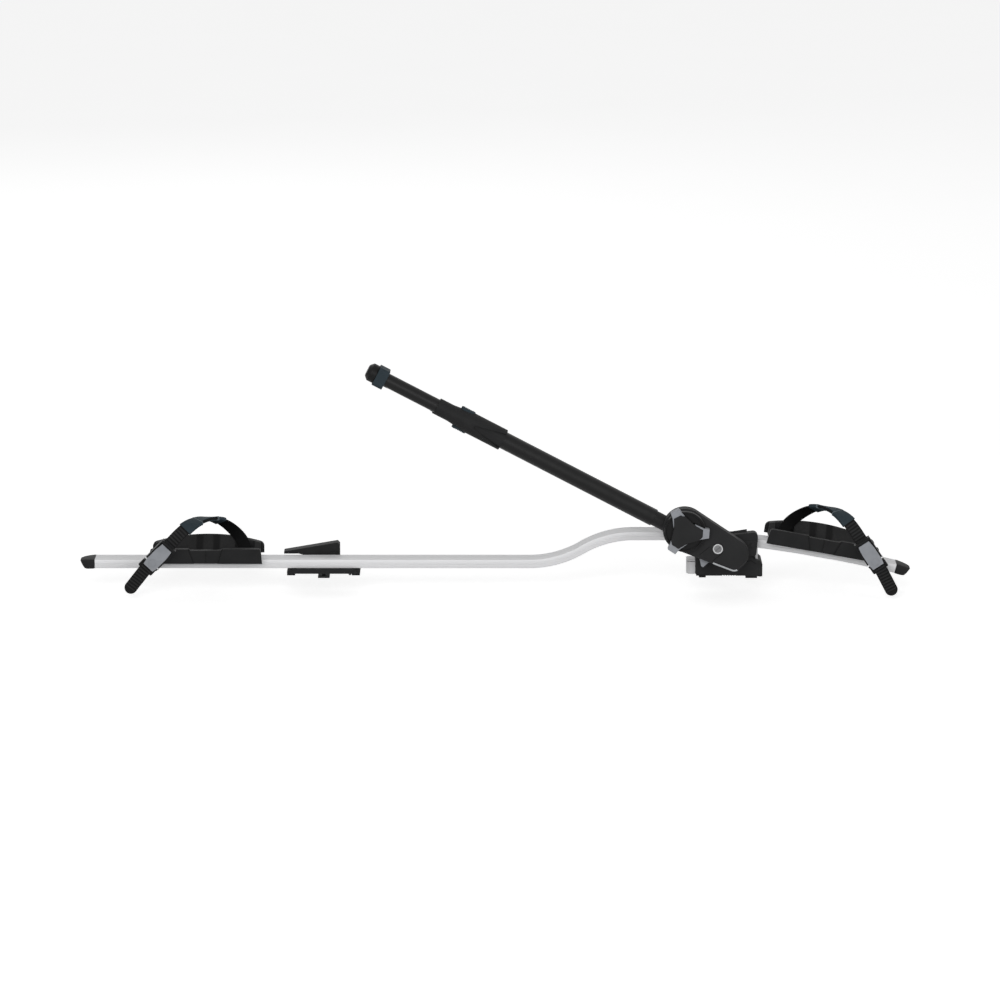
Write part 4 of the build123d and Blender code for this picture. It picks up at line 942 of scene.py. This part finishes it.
@dataclass
class Rail:
    """The aluminium rail, swept along its course, with its two end caps.

    A bend is its radius and its turn in degrees, upwards if positive; with no turn it is a straight length.
    """

    half_width: float = 0.019
    half_height: float = 0.00775
    corner: float = 0.0016
    groove_half: float = 0.0009
    groove_depth: float = 0.0006
    score_at: float = 0.0096
    score_half: float = 0.0006
    score_depth: float = 0.0003
    corner_ease: float = 0.3
    groove_floor: float = 0.8
    score_floor: float = 0.7
    rear_end: float = -1.097
    rear_centre_z: float = 0.01925
    bend_start: float = -0.344
    bends: tuple = ((0.1758, 30.8), (0.1758, -30.8), (0.079, 0.0), (0.250, -4.8), (2.310, -8.878))
    straight_steps: int = 24
    bend_steps: int = 28
    cap_overlap: float = 0.0005
    cap_length: float = 0.0255
    cap_shares: tuple = (0.0, 0.02, 0.15, 0.35, 0.55, 0.7, 0.82, 0.92, 0.98, 1.0)
    cap_top: tuple = (0.0079, 0.0083, 0.0082, 0.0079, 0.0075, 0.007, 0.0065, 0.0059, 0.0053, 0.0049)
    cap_low: tuple = (-0.0079, -0.0083, -0.0088, -0.0094, -0.0098, -0.0092, -0.0055, -0.001, 0.0024, 0.0036)
    cap_half: tuple = (0.0193, 0.0197, 0.0196, 0.0192, 0.0184, 0.0172, 0.0152, 0.0126, 0.0105, 0.0094)
    cap_rows: int = 30
    cap_crowding: float = 0.8
    cap_rail_round: float = 0.14
    cap_tip_round: float = 0.55
    cap_corner_steps: int = 5
    cap_smooth: float = 50.0

    def build(self) -> None:
        """Sweeps the rail and closes its ends with moulded caps."""
        self.sweep_rail()
        path, headings, _ = self.course()
        self.make_cap("rear_end_cap", path[0], headings[0] + math.pi)
        self.make_cap("front_end_cap", path[-1], headings[-1])

    def make_cap(self, name: str, place: Array, heading: float) -> None:
        """Nose-shaped end cap: round-cornered sections whose width, top and bottom draw in towards the tip.

        Args:
            name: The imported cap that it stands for.
            place: The rail's end, along and above.
            heading: Direction out of the end in the XZ plane, in radians.
        """
        ahead = np.array([math.cos(heading), 0.0, math.sin(heading)])
        level = math.copysign(1.0, math.cos(heading))
        up = level * np.array([-math.sin(heading), 0.0, math.cos(heading)])
        fine = np.linspace(0.0, 1.0, self.cap_rows) ** self.cap_crowding
        rows = (self.cap_top, self.cap_low, self.cap_half)
        top, bottom, half = (np.interp(fine, self.cap_shares, np.array(row)) for row in rows)
        share = fine[:, None, None]
        at_rail = rounded_loop(1.0, 1.0, self.cap_rail_round, self.cap_corner_steps)
        at_tip = rounded_loop(1.0, 1.0, self.cap_tip_round, self.cap_corner_steps)
        unit = (1 - share) * at_rail + share * at_tip
        tall = (top - bottom) / 2
        profile = np.stack([half[:, None] * unit[..., 0], tall[:, None] * unit[..., 1]], axis=-1)
        middle = (top + bottom)[:, None] / 2
        start = np.array([place[0], 0.0, place[1]]) - self.cap_overlap * ahead
        places = start + self.cap_length * fine[:, None] * ahead + middle * up
        sides = np.tile([0.0, -1.0, 0.0], (len(fine), 1))
        grid = carried(places, sides, np.tile(up, (len(fine), 1)), profile)
        faces = tube_faces(*grid.shape[:2])
        cap = make_piece(f"{name}_moulding", grid, faces, CHARCOAL, name, self.cap_smooth)
        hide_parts(name)

    def course(self) -> tuple[Array, Array, Array]:
        """Middle line of the rail in the XZ plane: straight stretches and arcs, each tangent to the last.

        A point of an arc is the arc's start, plus its radius times the change in the heading's sine along the
        rail and less its radius times the change in the heading's cosine above it. The radius counts as
        negative on a bend that turns down.

        Returns:
            Places, headings in radians and lengths run.
        """
        count = self.straight_steps
        level = np.linspace(self.rear_end, self.bend_start, count)
        places = [np.column_stack([level, np.full(count, self.rear_centre_z)])]
        headings = [np.zeros(count)]
        heading = 0.0
        for size, turn in self.bends:
            start = places[-1][-1]
            angles = heading + np.radians(turn) * np.linspace(0.0, 1.0, self.bend_steps)
            if turn == 0.0:
                run = size * np.linspace(0.0, 1.0, self.bend_steps)[:, None]
                stretch = start + run * [math.cos(heading), math.sin(heading)]
            else:
                side = math.copysign(size, turn)
                across = side * (np.sin(angles) - math.sin(heading))
                upward = side * (math.cos(heading) - np.cos(angles))
                stretch = start + np.column_stack([across, upward])
            places.append(stretch[1:])
            headings.append(angles[1:])
            heading = float(angles[-1])
        path = np.vstack(places)
        run = np.concatenate([[0.0], np.cumsum(np.linalg.norm(np.diff(path, axis=0), axis=1))])
        return path, np.concatenate(headings), run

    def section(self) -> Array:
        """Closed outline of the rail: a box with eased corners, a groove in each side and two scores on top.

        Returns:
            The outline's points, across and up, once round.
        """
        w, h, c, g, d = self.half_width, self.half_height, self.corner, self.groove_half, self.groove_depth
        ease = self.corner_ease * c
        floor = self.groove_floor * g
        at, half, deep = self.score_at, self.score_half, h - self.score_depth
        low = self.score_floor * half
        right = np.array([
            (0.0, -h), (w - c, -h), (w - ease, -h + ease), (w, -h + c), (w, -g), (w - d, -floor),
            (w - d, floor), (w, g), (w, h - c), (w - ease, h - ease), (w - c, h), (at + half, h),
            (at + low, deep), (at - low, deep), (at - half, h), (0.0, h),
        ])
        left = right[-2:0:-1] * [-1.0, 1.0]
        return np.vstack([right, left])

    def sweep_rail(self) -> None:
        """Carries the outline along the course, square to it, and keeps each point's lay for the finish."""
        path, headings, run = self.course()
        places = np.column_stack([path[:, 0], np.zeros(len(path)), path[:, 1]])
        sides = np.tile([0.0, -1.0, 0.0], (len(path), 1))
        ups = np.column_stack([-np.sin(headings), np.zeros(len(path)), np.cos(headings)])
        outline = self.section()
        round_run = np.concatenate([[0.0], np.cumsum(np.linalg.norm(np.diff(outline, axis=0), axis=1))])
        grid = carried(places, sides, ups, outline)
        along, across = np.meshgrid(run, round_run, indexing="ij")
        lay = np.stack([along, across, np.zeros_like(along)], axis=-1)
        faces = tube_faces(len(path), len(outline))
        rail = make_piece("drawn_rail", grid, faces, ALUMINIUM, "rail", lay=lay)
        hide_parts("rail")


@dataclass
class RearClamp:
    """The clamp on the rear load bar. A seam is its start, its end and its width."""

    seams: tuple = (
        ((-0.7286, -0.0252, 0.0383), (-0.7286, -0.0252, 0.0327), 0.0007),
        ((-0.7286, -0.0252, 0.0327), (-0.6765, -0.0252, 0.0327), 0.0007),
    )

    def build(self) -> None:
        """Rounds the lever, its pads and screws, and dresses the plate and the bolt."""
        finish_nodes((
            ("rear_clamp_plate", CHARCOAL),
            ("rear_clamp_lever", replace(CHARCOAL, name="clamp_lever_plastic", lines=self.seams), 0.0012, 3),
            ("rear_clamp_pads", RUBBER, 0.0008),
            ("rear_clamp_screws", BLACK_METAL, 0.0004),
            ("rear_t_bolt", BLACK_METAL),
        ))


@dataclass
class FrontFoot:
    """The foot on the front load bar, with its clamp and the hub bracket.

    The outline is the cover's, along and above. A seam is its start, its end and its width.
    """

    half_width: float = 0.027
    corner: float = 0.005
    corner_steps: int = 7
    edge: float = 0.0007
    sharp: float = 40.0
    outline: tuple = (
        (-0.058, 0.0025), (-0.058, 0.036), (0.036, 0.036), (0.0375, 0.0354), (0.0445, 0.0292),
        (0.0530, 0.0266), (0.0568, 0.0238), (0.0580, 0.0195), (0.0580, -0.0012), (0.035, 0.0006),
    )
    seams: tuple = (
        ((0.0305, -0.027, 0.0258), (0.0377, -0.027, 0.0274), 0.0006),
        ((0.0377, -0.027, 0.0274), (0.0464, -0.027, 0.0214), 0.0006),
    )

    def make_cover(self) -> None:
        """Moulded cover with a round brow: its side outline carried across, drawn in at the upright corners.

        Near each side the outline's ends move in by a quarter circle: the radius less its cosine's share,
        where the side has come in by the radius less its sine's share.
        """
        turn = np.linspace(0.0, math.pi / 2, self.corner_steps)
        edge = self.half_width - self.corner * (1 - np.sin(turn))
        across = np.concatenate([-edge[::-1], edge])
        inset = self.corner * (1 - np.cos(turn))
        inset = np.concatenate([inset[::-1], inset])[:, None]
        flat = np.array(self.outline)
        x = np.clip(flat[:, 0], flat[:, 0].min() + inset, flat[:, 0].max() - inset)
        z = np.broadcast_to(flat[:, 1], x.shape)
        y = np.broadcast_to(across[:, None], x.shape)
        grid = np.stack([x, y, z], axis=-1)
        name = "front_foot_cover"
        plastic = replace(COVER, name="foot_cover_plastic", lines=self.seams)
        faces = tube_faces(*grid.shape[:2])
        cover = make_piece("foot_cover_moulding", grid, faces, plastic, name, self.sharp)
        add_bevel(cover, self.edge, 2, self.sharp)
        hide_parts(name)

    def build(self) -> None:
        """Makes the cover, rounds the other pieces and dresses the pivot pin."""
        self.make_cover()
        finish_nodes((
            ("front_foot_casting", CAST, 0.001, 3),
            ("front_foot_pad", RUBBER, 0.0005),
            ("front_clamp_lever", COVER, 0.0009, 3),
            ("front_clamp_ear", BLACK_METAL, 0.0004),
            ("hub_bracket", BLACK_METAL, 0.0006),
            ("front_t_bolt", BLACK_METAL, 0.0005),
            ("front_locator_bolt", BLACK_METAL, 0.0005),
            ("arm_pivot_pin", STEEL),
        ))


@dataclass
class Arm:
    """The arm: housing, telescoping tubes, sleeve, jaws and tip.

    New pieces are worked out in the arm's own places: X from the pivot along the folded arm, Z square to it.
    Seams are on the carrier as it stands; a seam is its start, its end and its width.
    """

    pivot: tuple[float, float, float] = (-0.005, 0.0, 0.044)
    lean: float = 27.8
    edge_start: float = -0.019
    edge_height: float = -0.01985
    edge_slope: float = 0.1129
    edge_stop: float = 0.01546
    heel: tuple[float, float] = (0.014, -0.003)
    heel_radius: float = 0.013
    heel_first: float = -83.5
    heel_last: float = -35.0
    strip_inset: float = 0.0018
    strip_half: float = 0.0014
    strip_corner: float = 0.0005
    strip_y: float = -0.0841
    strip_steps: int = 12
    heel_steps: int = 16
    lock_place: tuple[float, float] = (-0.024, 0.008)
    bezel_y: float = -0.0868
    bezel_radius: float = 0.0076
    bezel_half: tuple[float, float] = (0.0010, 0.0005)
    bezel_corner: float = 0.0003
    seams: tuple = (
        ((-0.0537, -0.085, 0.0517), (-0.0366, -0.085, 0.0657), 0.0006),
        ((-0.0324, -0.085, 0.0394), (-0.0146, -0.085, 0.0547), 0.0006),
    )

    def on_arm(self, points: Array) -> Array:
        """Carries points from the arm's own places to the arm as it stands.

        Args:
            points: Places along, beside and square to the folded arm.

        Returns:
            The same places on the carrier.
        """
        return leaned(points, self.lean) + np.array(self.pivot)

    def lay_painted_highlight(self) -> None:
        """Pale strip along the near cover's lower edge and round its heel, carried along that edge: a painted
        highlight on that edge.
        """
        run = np.linspace(self.edge_start, self.edge_stop, self.strip_steps)[:-1]
        flat = np.column_stack([run, self.edge_height + (run - self.edge_start) * self.edge_slope])
        tilt = math.atan(self.edge_slope)
        inward = np.tile([-math.sin(tilt), math.cos(tilt)], (len(run), 1))
        angles = np.radians(np.linspace(self.heel_first, self.heel_last, self.heel_steps))
        ray = np.column_stack([np.cos(angles), np.sin(angles)])
        path = np.vstack([flat, np.array(self.heel) + self.heel_radius * ray])
        inward = np.vstack([inward, -ray])
        places = np.column_stack([path[:, 0], np.full(len(path), self.strip_y), path[:, 1]])
        sides = np.column_stack([inward[:, 0], np.zeros(len(path)), inward[:, 1]])
        ups = np.tile([0.0, -1.0, 0.0], (len(path), 1))
        profile = rounded_loop(self.strip_half, self.strip_half, self.strip_corner) + [self.strip_inset, 0.0]
        grid = self.on_arm(carried(places, sides, ups, profile))
        make_piece("cover_painted_highlight", grid, tube_faces(*grid.shape[:2]), HIGHLIGHT_STRIP, "arm_cover_near")

    def set_bezel(self) -> None:
        """Ring round the lock barrel: a rounded section turned about the barrel's axis."""
        centre = self.on_arm(np.array([self.lock_place[0], self.bezel_y, self.lock_place[1]]))
        section = rounded_loop(*self.bezel_half, self.bezel_corner) + [self.bezel_radius, 0.0]
        grid = revolved(centre, (0.0, -1.0, 0.0), section)
        make_piece("lock_bezel", grid, ring_faces(*grid.shape[:2]), STEEL, "lock_barrel")

    def build(self) -> None:
        """Rounds and dresses the arm's pieces, and adds the lock's ring and a pale strip that is a painted
        highlight on the cover's lower edge.
        """
        finish_nodes((
            ("arm_cover_near", replace(COVER, name="near_cover_plastic", lines=self.seams), 0.0012, 3),
            ("arm_cover_far", CHARCOAL, 0.0012, 3),
            ("arm_cover_screws", STEEL),
            ("arm_socket", BLACK_METAL),
            ("arm_outer_tube", TUBE, 0.0004),
            ("arm_inner_tube", TUBE, 0.0004),
            ("inner_tube_guide", CHARCOAL),
            ("jaw_sleeve", CHARCOAL, 0.0005),
            ("guide_bush", CHARCOAL),
        ))
        for side in ("upper", "lower"):
            finish_nodes((
                (f"{side}_release_button", BLUE_RUBBER, 0.0003),
                (f"{side}_jaw", CHARCOAL, 0.0009),
                (f"{side}_jaw_pad", RUBBER, 0.0004),
            ))
        finish_nodes((("jaw_collar", BLUE_RUBBER, 0.001, 3), ("arm_tip_cap", JET, 0.0009, 3)))
        # The pale strip paints a highlight along the near cover's lower edge.
        self.lay_painted_highlight()
        self.set_bezel()


@dataclass
class Knob:
    """The tightening knob, the lock and the release trigger."""

    def build(self) -> None:
        """Rounds the knob's pieces, the lock and the trigger, and dresses the spindle."""
        finish_nodes((
            ("knob_disc", JET, 0.0008, 3),
            ("knob_lugs", GREY, 0.0008, 3),
            ("knob_cap", COVER, 0.0009, 3),
            ("knob_spindle", STEEL),
            ("lock_barrel", LOCK, 0.0003),
            ("release_trigger", GREY, 0.0006),
        ))


@dataclass
class WheelTray:
    """One wheel tray with its strap, rim protector and ratchet buckle.

    The strap is worked out in the tray's own frame, whose origin is the middle of the rail's top face and
    whose -X points away from the rail's middle. The tray's lines, each a start, an end and a width, are the
    recess's two edges, its middle seam and two wide bands of painted shade in the gaps between the wall
    pads. The sleeves' ends are places along the rail.
    """

    end: End
    rear_place: tuple[float, float, float] = (-0.903, 0.0, 0.027)
    front_place: tuple[float, float, float] = (0.158992, 0.0, 0.046115)
    front_lean: float = 10.348
    course_points: tuple = (
        (0.064, 0.030, 0.0045), (0.0425, 0.020, 0.046), (0.008, -0.013, 0.0715), (-0.031, -0.050, 0.064),
        (-0.060291, -0.0594, 0.036541),
    )
    buckle_lean: float = 45.8
    run_length: float = 0.064
    tail_length: float = 0.049
    tail_turn: float = 6.2
    tail_bend: float = 0.012
    strap_half: float = 0.011
    strap_thickness: float = 0.0024
    rib_half: float = 0.0092
    rib_height: float = 0.0011
    rib_length: float = 0.0027
    rib_pitch: float = 0.0054
    rib_margin: float = 0.008
    rib_lead: float = 0.003
    rib_gap: float = 0.001
    rib_slope: float = 0.16
    strap_edge: float = 0.0005
    leg_steps: int = 500
    run_steps: int = 400
    plain_steps: int = 46
    tip_steps: int = 16
    tip_first: float = 0.3
    tip_least: float = 0.02
    sleeve_half: float = 0.013
    sleeve_height: float = 0.0033
    sleeve_wall: float = 0.0016
    sleeve_ends: tuple[float, float, float, float] = (0.024, 0.012, -0.013, -0.0345)
    sleeve_corner: float = 0.0022
    sleeve_step: float = 0.0015
    bore_gap: float = 0.0003
    bore_corner: float = 0.0008
    lip_growth: float = 0.0004
    channel_corner: float = 0.0012
    channel_lap: float = 0.0005
    channel_rows: int = 20
    open_share: float = 0.7
    tray_lines: tuple = (
        ((-0.029, -0.051, 0.0262), (-0.0205, -0.0433, -0.0016), 0.0011),
        ((0.029, -0.051, 0.0262), (0.0205, -0.0433, -0.0016), 0.0011),
        ((-0.0018, -0.0478, 0.014), (-0.0018, -0.0440, 0.001), 0.0009),
        # These two wide bands are painted shade in the gaps between the wall pads.
        ((-0.0145, 0.0134, 0.003), (-0.0145, 0.0501, 0.0295), 0.0075),
        ((0.0145, 0.0134, 0.003), (0.0145, 0.0501, 0.0295), 0.0075),
    )

    def build(self) -> None:
        """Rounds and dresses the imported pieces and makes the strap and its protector."""
        end = self.end.value
        lines = tuple(
            (tuple(self.placed(np.array(start)).tolist()), tuple(self.placed(np.array(stop)).tolist()), width)
            for start, stop, width in self.tray_lines
        )
        finish_nodes((
            (f"{end}_wheel_tray", replace(CHARCOAL, name=f"{end}_tray_plastic", lines=lines), 0.0008, 3),
            (f"{end}_tray_clamp", BLACK_METAL),
            (f"{end}_tray_screws", STEEL, 0.0005),
            (f"{end}_buckle_frame", JET, 0.0005),
            (f"{end}_buckle_pin", STEEL, 0.0004),
            (f"{end}_buckle_lever", GREY, 0.0006, 3),
        ))
        self.make_strap()
        self.make_protector()

    def placed(self, points: Array) -> Array:
        """Carries points from the tray's frame to the rear tray or, mirrored and leaned, to the front one.

        Args:
            points: Places in the tray's frame.

        Returns:
            The same places on the carrier.
        """
        if self.end is End.REAR:
            return points + np.array(self.rear_place)
        return leaned(points * [-1.0, 1.0, 1.0], self.front_lean) + np.array(self.front_place)

    def strap_lines(self) -> tuple[Array, Array, Array, Array]:
        """Middle line of the strap: a smooth leg over the rim, a run through the buckle, and the tail.

        In the run's plane the heading is zero and then eases to the tail's turn, and the sums of its cosine
        and sine give the places. Over the leg the wide direction is the rail's, less its part along the
        strap.

        Returns:
            Lengths run, places, directions along and directions across.
        """
        lean = math.radians(self.buckle_lean)
        ahead = np.array([-math.cos(lean), 0.0, -math.sin(lean)])
        aside = np.array([math.sin(lean), 0.0, -math.cos(lean)])
        leg = smooth_course(np.array(self.course_points), np.array([0.0, 0.0, 1.0]), ahead, self.leg_steps)
        along = np.gradient(leg, axis=0)
        along /= np.linalg.norm(along, axis=1)[:, None]
        wide = np.array([1.0, 0.0, 0.0]) - along * along[:, :1]
        wide /= np.linalg.norm(wide, axis=1)[:, None]
        steps = np.linspace(0.0, self.run_length + self.tail_length, self.run_steps)
        ease = np.clip((steps - self.run_length + self.tail_bend / 2) / self.tail_bend, 0.0, 1.0)
        heading = math.radians(self.tail_turn) * ease**2 * (3 - 2 * ease)
        pace = steps[1] - steps[0]
        forth = np.cumsum(np.cos(heading))[:, None] * pace
        over = np.cumsum(np.sin(heading))[:, None] * pace
        run = leg[-1] + forth * ahead + over * aside
        run_along = np.cos(heading)[:, None] * ahead + np.sin(heading)[:, None] * aside
        run_wide = np.cos(heading)[:, None] * aside - np.sin(heading)[:, None] * ahead
        places = np.vstack([leg, run])
        lengths = np.concatenate([[0.0], np.cumsum(np.linalg.norm(np.diff(places, axis=0), axis=1))])
        return lengths, places, np.vstack([along, run_along]), np.vstack([wide, run_wide])

    def at(self, stations: Array) -> tuple[Array, Array, Array]:
        """Places, wide directions and outward directions at lengths along the strap.

        Args:
            stations: Lengths along the strap's middle line.

        Returns:
            Places, directions across the strap and directions out of its face.
        """
        lengths, *lines = self.strap_lines()
        places, along, wide = (
            np.stack([np.interp(stations, lengths, column) for column in line.T], axis=-1) for line in lines
        )
        out = np.cross(along, wide)
        return places, wide, out / np.linalg.norm(out, axis=1)[:, None]

    def length_at(self, x: float) -> float:
        """Length along the strap at which its leg passes a place along the rail.

        Args:
            x: The place along the rail, in the tray's frame.

        Returns:
            The length from the strap's start.
        """
        lengths, places, _, _ = self.strap_lines()
        return float(np.interp(-x, -places[: self.leg_steps, 0], lengths[: self.leg_steps]))

    def make_strap(self) -> None:
        """Ladder strap: a ribbon with ribs across its outer face, and a round end.

        Each rib is four sections: it rises, runs level and falls. At the end the half width is a circle's.
        """
        total = float(self.strap_lines()[0][-1])
        first = self.length_at(self.sleeve_ends[3]) + self.rib_lead
        plain = np.linspace(0.0, first - self.rib_gap, self.plain_steps)
        ribs = np.arange(first, total - self.rib_margin - self.rib_length, self.rib_pitch)
        shares = np.array([0.0, self.rib_slope, 1.0 - self.rib_slope, 1.0])
        ribbed = (ribs[:, None] + shares * self.rib_length).ravel()
        heights = np.tile([0.0, 1.0, 1.0, 0.0], len(ribs)) * self.rib_height
        turn = np.linspace(self.tip_first, math.pi / 2, self.tip_steps)
        tip = total - self.strap_half * (1 - np.sin(turn))
        tip = tip[tip > ribbed[-1]]
        stations = np.concatenate([plain, ribbed, tip])
        rise = np.concatenate([np.zeros(len(plain)), heights, np.zeros(len(tip))])
        left = np.clip((total - stations) / self.strap_half, 0.0, 1.0)
        narrow = np.maximum(np.sqrt(1 - (1 - left) ** 2), self.tip_least)
        half, low, rib, edge = self.strap_half, self.strap_thickness / 2, self.rib_half, self.strap_edge
        wide = np.array([-half, -half + edge, -rib - edge, -rib, rib, rib + edge, half - edge, half])
        wide = np.concatenate([wide, [half, half - edge, edge - half, -half]])
        base = np.array([low / 2, low, low, low, low, low, low, low / 2, -low / 2, -low, -low, -low / 2])
        raised = np.array([0, 0, 0, 1, 1, 0, 0, 0, 0, 0, 0, 0])
        profile = np.stack([narrow[:, None] * wide, base + rise[:, None] * raised], axis=-1)
        grid = self.placed(carried(*self.at(stations), profile))
        name = f"{self.end.value}_wheel_strap"
        faces = tube_faces(len(stations), len(wide))
        lay = np.zeros((len(stations), len(wide), 3))
        lay[..., 0] = rise[:, None] * raised / self.rib_height
        strap = make_piece(f"{name}_ladder", grid, faces, STRAP, name, lay=lay)
        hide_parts(name)

    def sleeve(
        self, label: str, start: float, stop: float, finish: Finish, grow: float = 0.0
    ) -> bpy.types.Object:
        """Closed sleeve round the strap: an outer loop carried forward, then an inner one carried back.

        Args:
            label: Name of the sleeve.
            start: Length along the strap where it starts.
            stop: Length where it stops.
            finish: Its finish.
            grow: How much larger it is than the plain sleeve, each way.

        Returns:
            The new piece.
        """
        name = f"{self.end.value}_rim_protector"
        stations = np.linspace(start, stop, max(4, int((stop - start) / self.sleeve_step)))
        places, wide, out = self.at(stations)
        outer = rounded_loop(self.sleeve_half + grow, self.sleeve_height + grow, self.sleeve_corner)
        bore = (self.strap_half + self.bore_gap, self.sleeve_height - self.sleeve_wall)
        inner = rounded_loop(*bore, self.bore_corner)
        there = carried(places, wide, out, outer)
        back = carried(places[::-1], wide[::-1], out[::-1], inner)
        grid = self.placed(np.concatenate([there, back]))
        return make_piece(f"{name}_{label}", grid, ring_faces(*grid.shape[:2]), finish, name)

    def make_protector(self) -> None:
        """Rubber rim protector: two closed sleeves joined by a channel that is open along one edge."""
        name = f"{self.end.value}_rim_protector"
        far, mid, near, low = (self.length_at(x) for x in self.sleeve_ends)
        sleeves = [
            self.sleeve("far_sleeve", far, mid, BLUE_RUBBER),
            self.sleeve("near_sleeve", near, low, BLUE_RUBBER),
            self.sleeve("far_lip", mid - 0.0012, mid + 0.0004, LIP, self.lip_growth),
            self.sleeve("near_lip", near - 0.0002, near + 0.001, LIP, self.lip_growth),
        ]
        half, high, wall, soft = self.sleeve_half, self.sleeve_height, self.sleeve_wall, self.channel_corner
        edge = self.open_share * half
        back = [(soft - half, high), (-half, high - soft), (-half, soft - high), (soft - half, -high)]
        inside = [(edge, wall - high), (wall - half, wall - high), (wall - half, high - wall)]
        profile = np.array([(edge, high), *back, (edge, -high), *inside, (edge, high - wall)])
        stations = np.linspace(mid - self.channel_lap, near + self.channel_lap, self.channel_rows)
        grid = self.placed(carried(*self.at(stations), profile))
        faces = tube_faces(self.channel_rows, len(profile))
        channel = make_piece(f"{name}_channel", grid, faces, BLUE_RUBBER, name)
        for piece in (channel, *sleeves):
            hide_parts(name)


def main() -> None:
    """Builds the studio and every sub-assembly, and reports each."""
    logging.basicConfig(level=logging.INFO, format="%(name)s: %(message)s")
    trays = [WheelTray(end) for end in End]
    for builder in (Studio(), Rail(), RearClamp(), FrontFoot(), Arm(), Knob(), *trays):
        builder.build()
        log.info("built %s", type(builder).__name__)


if __name__ == "__main__":
    main()
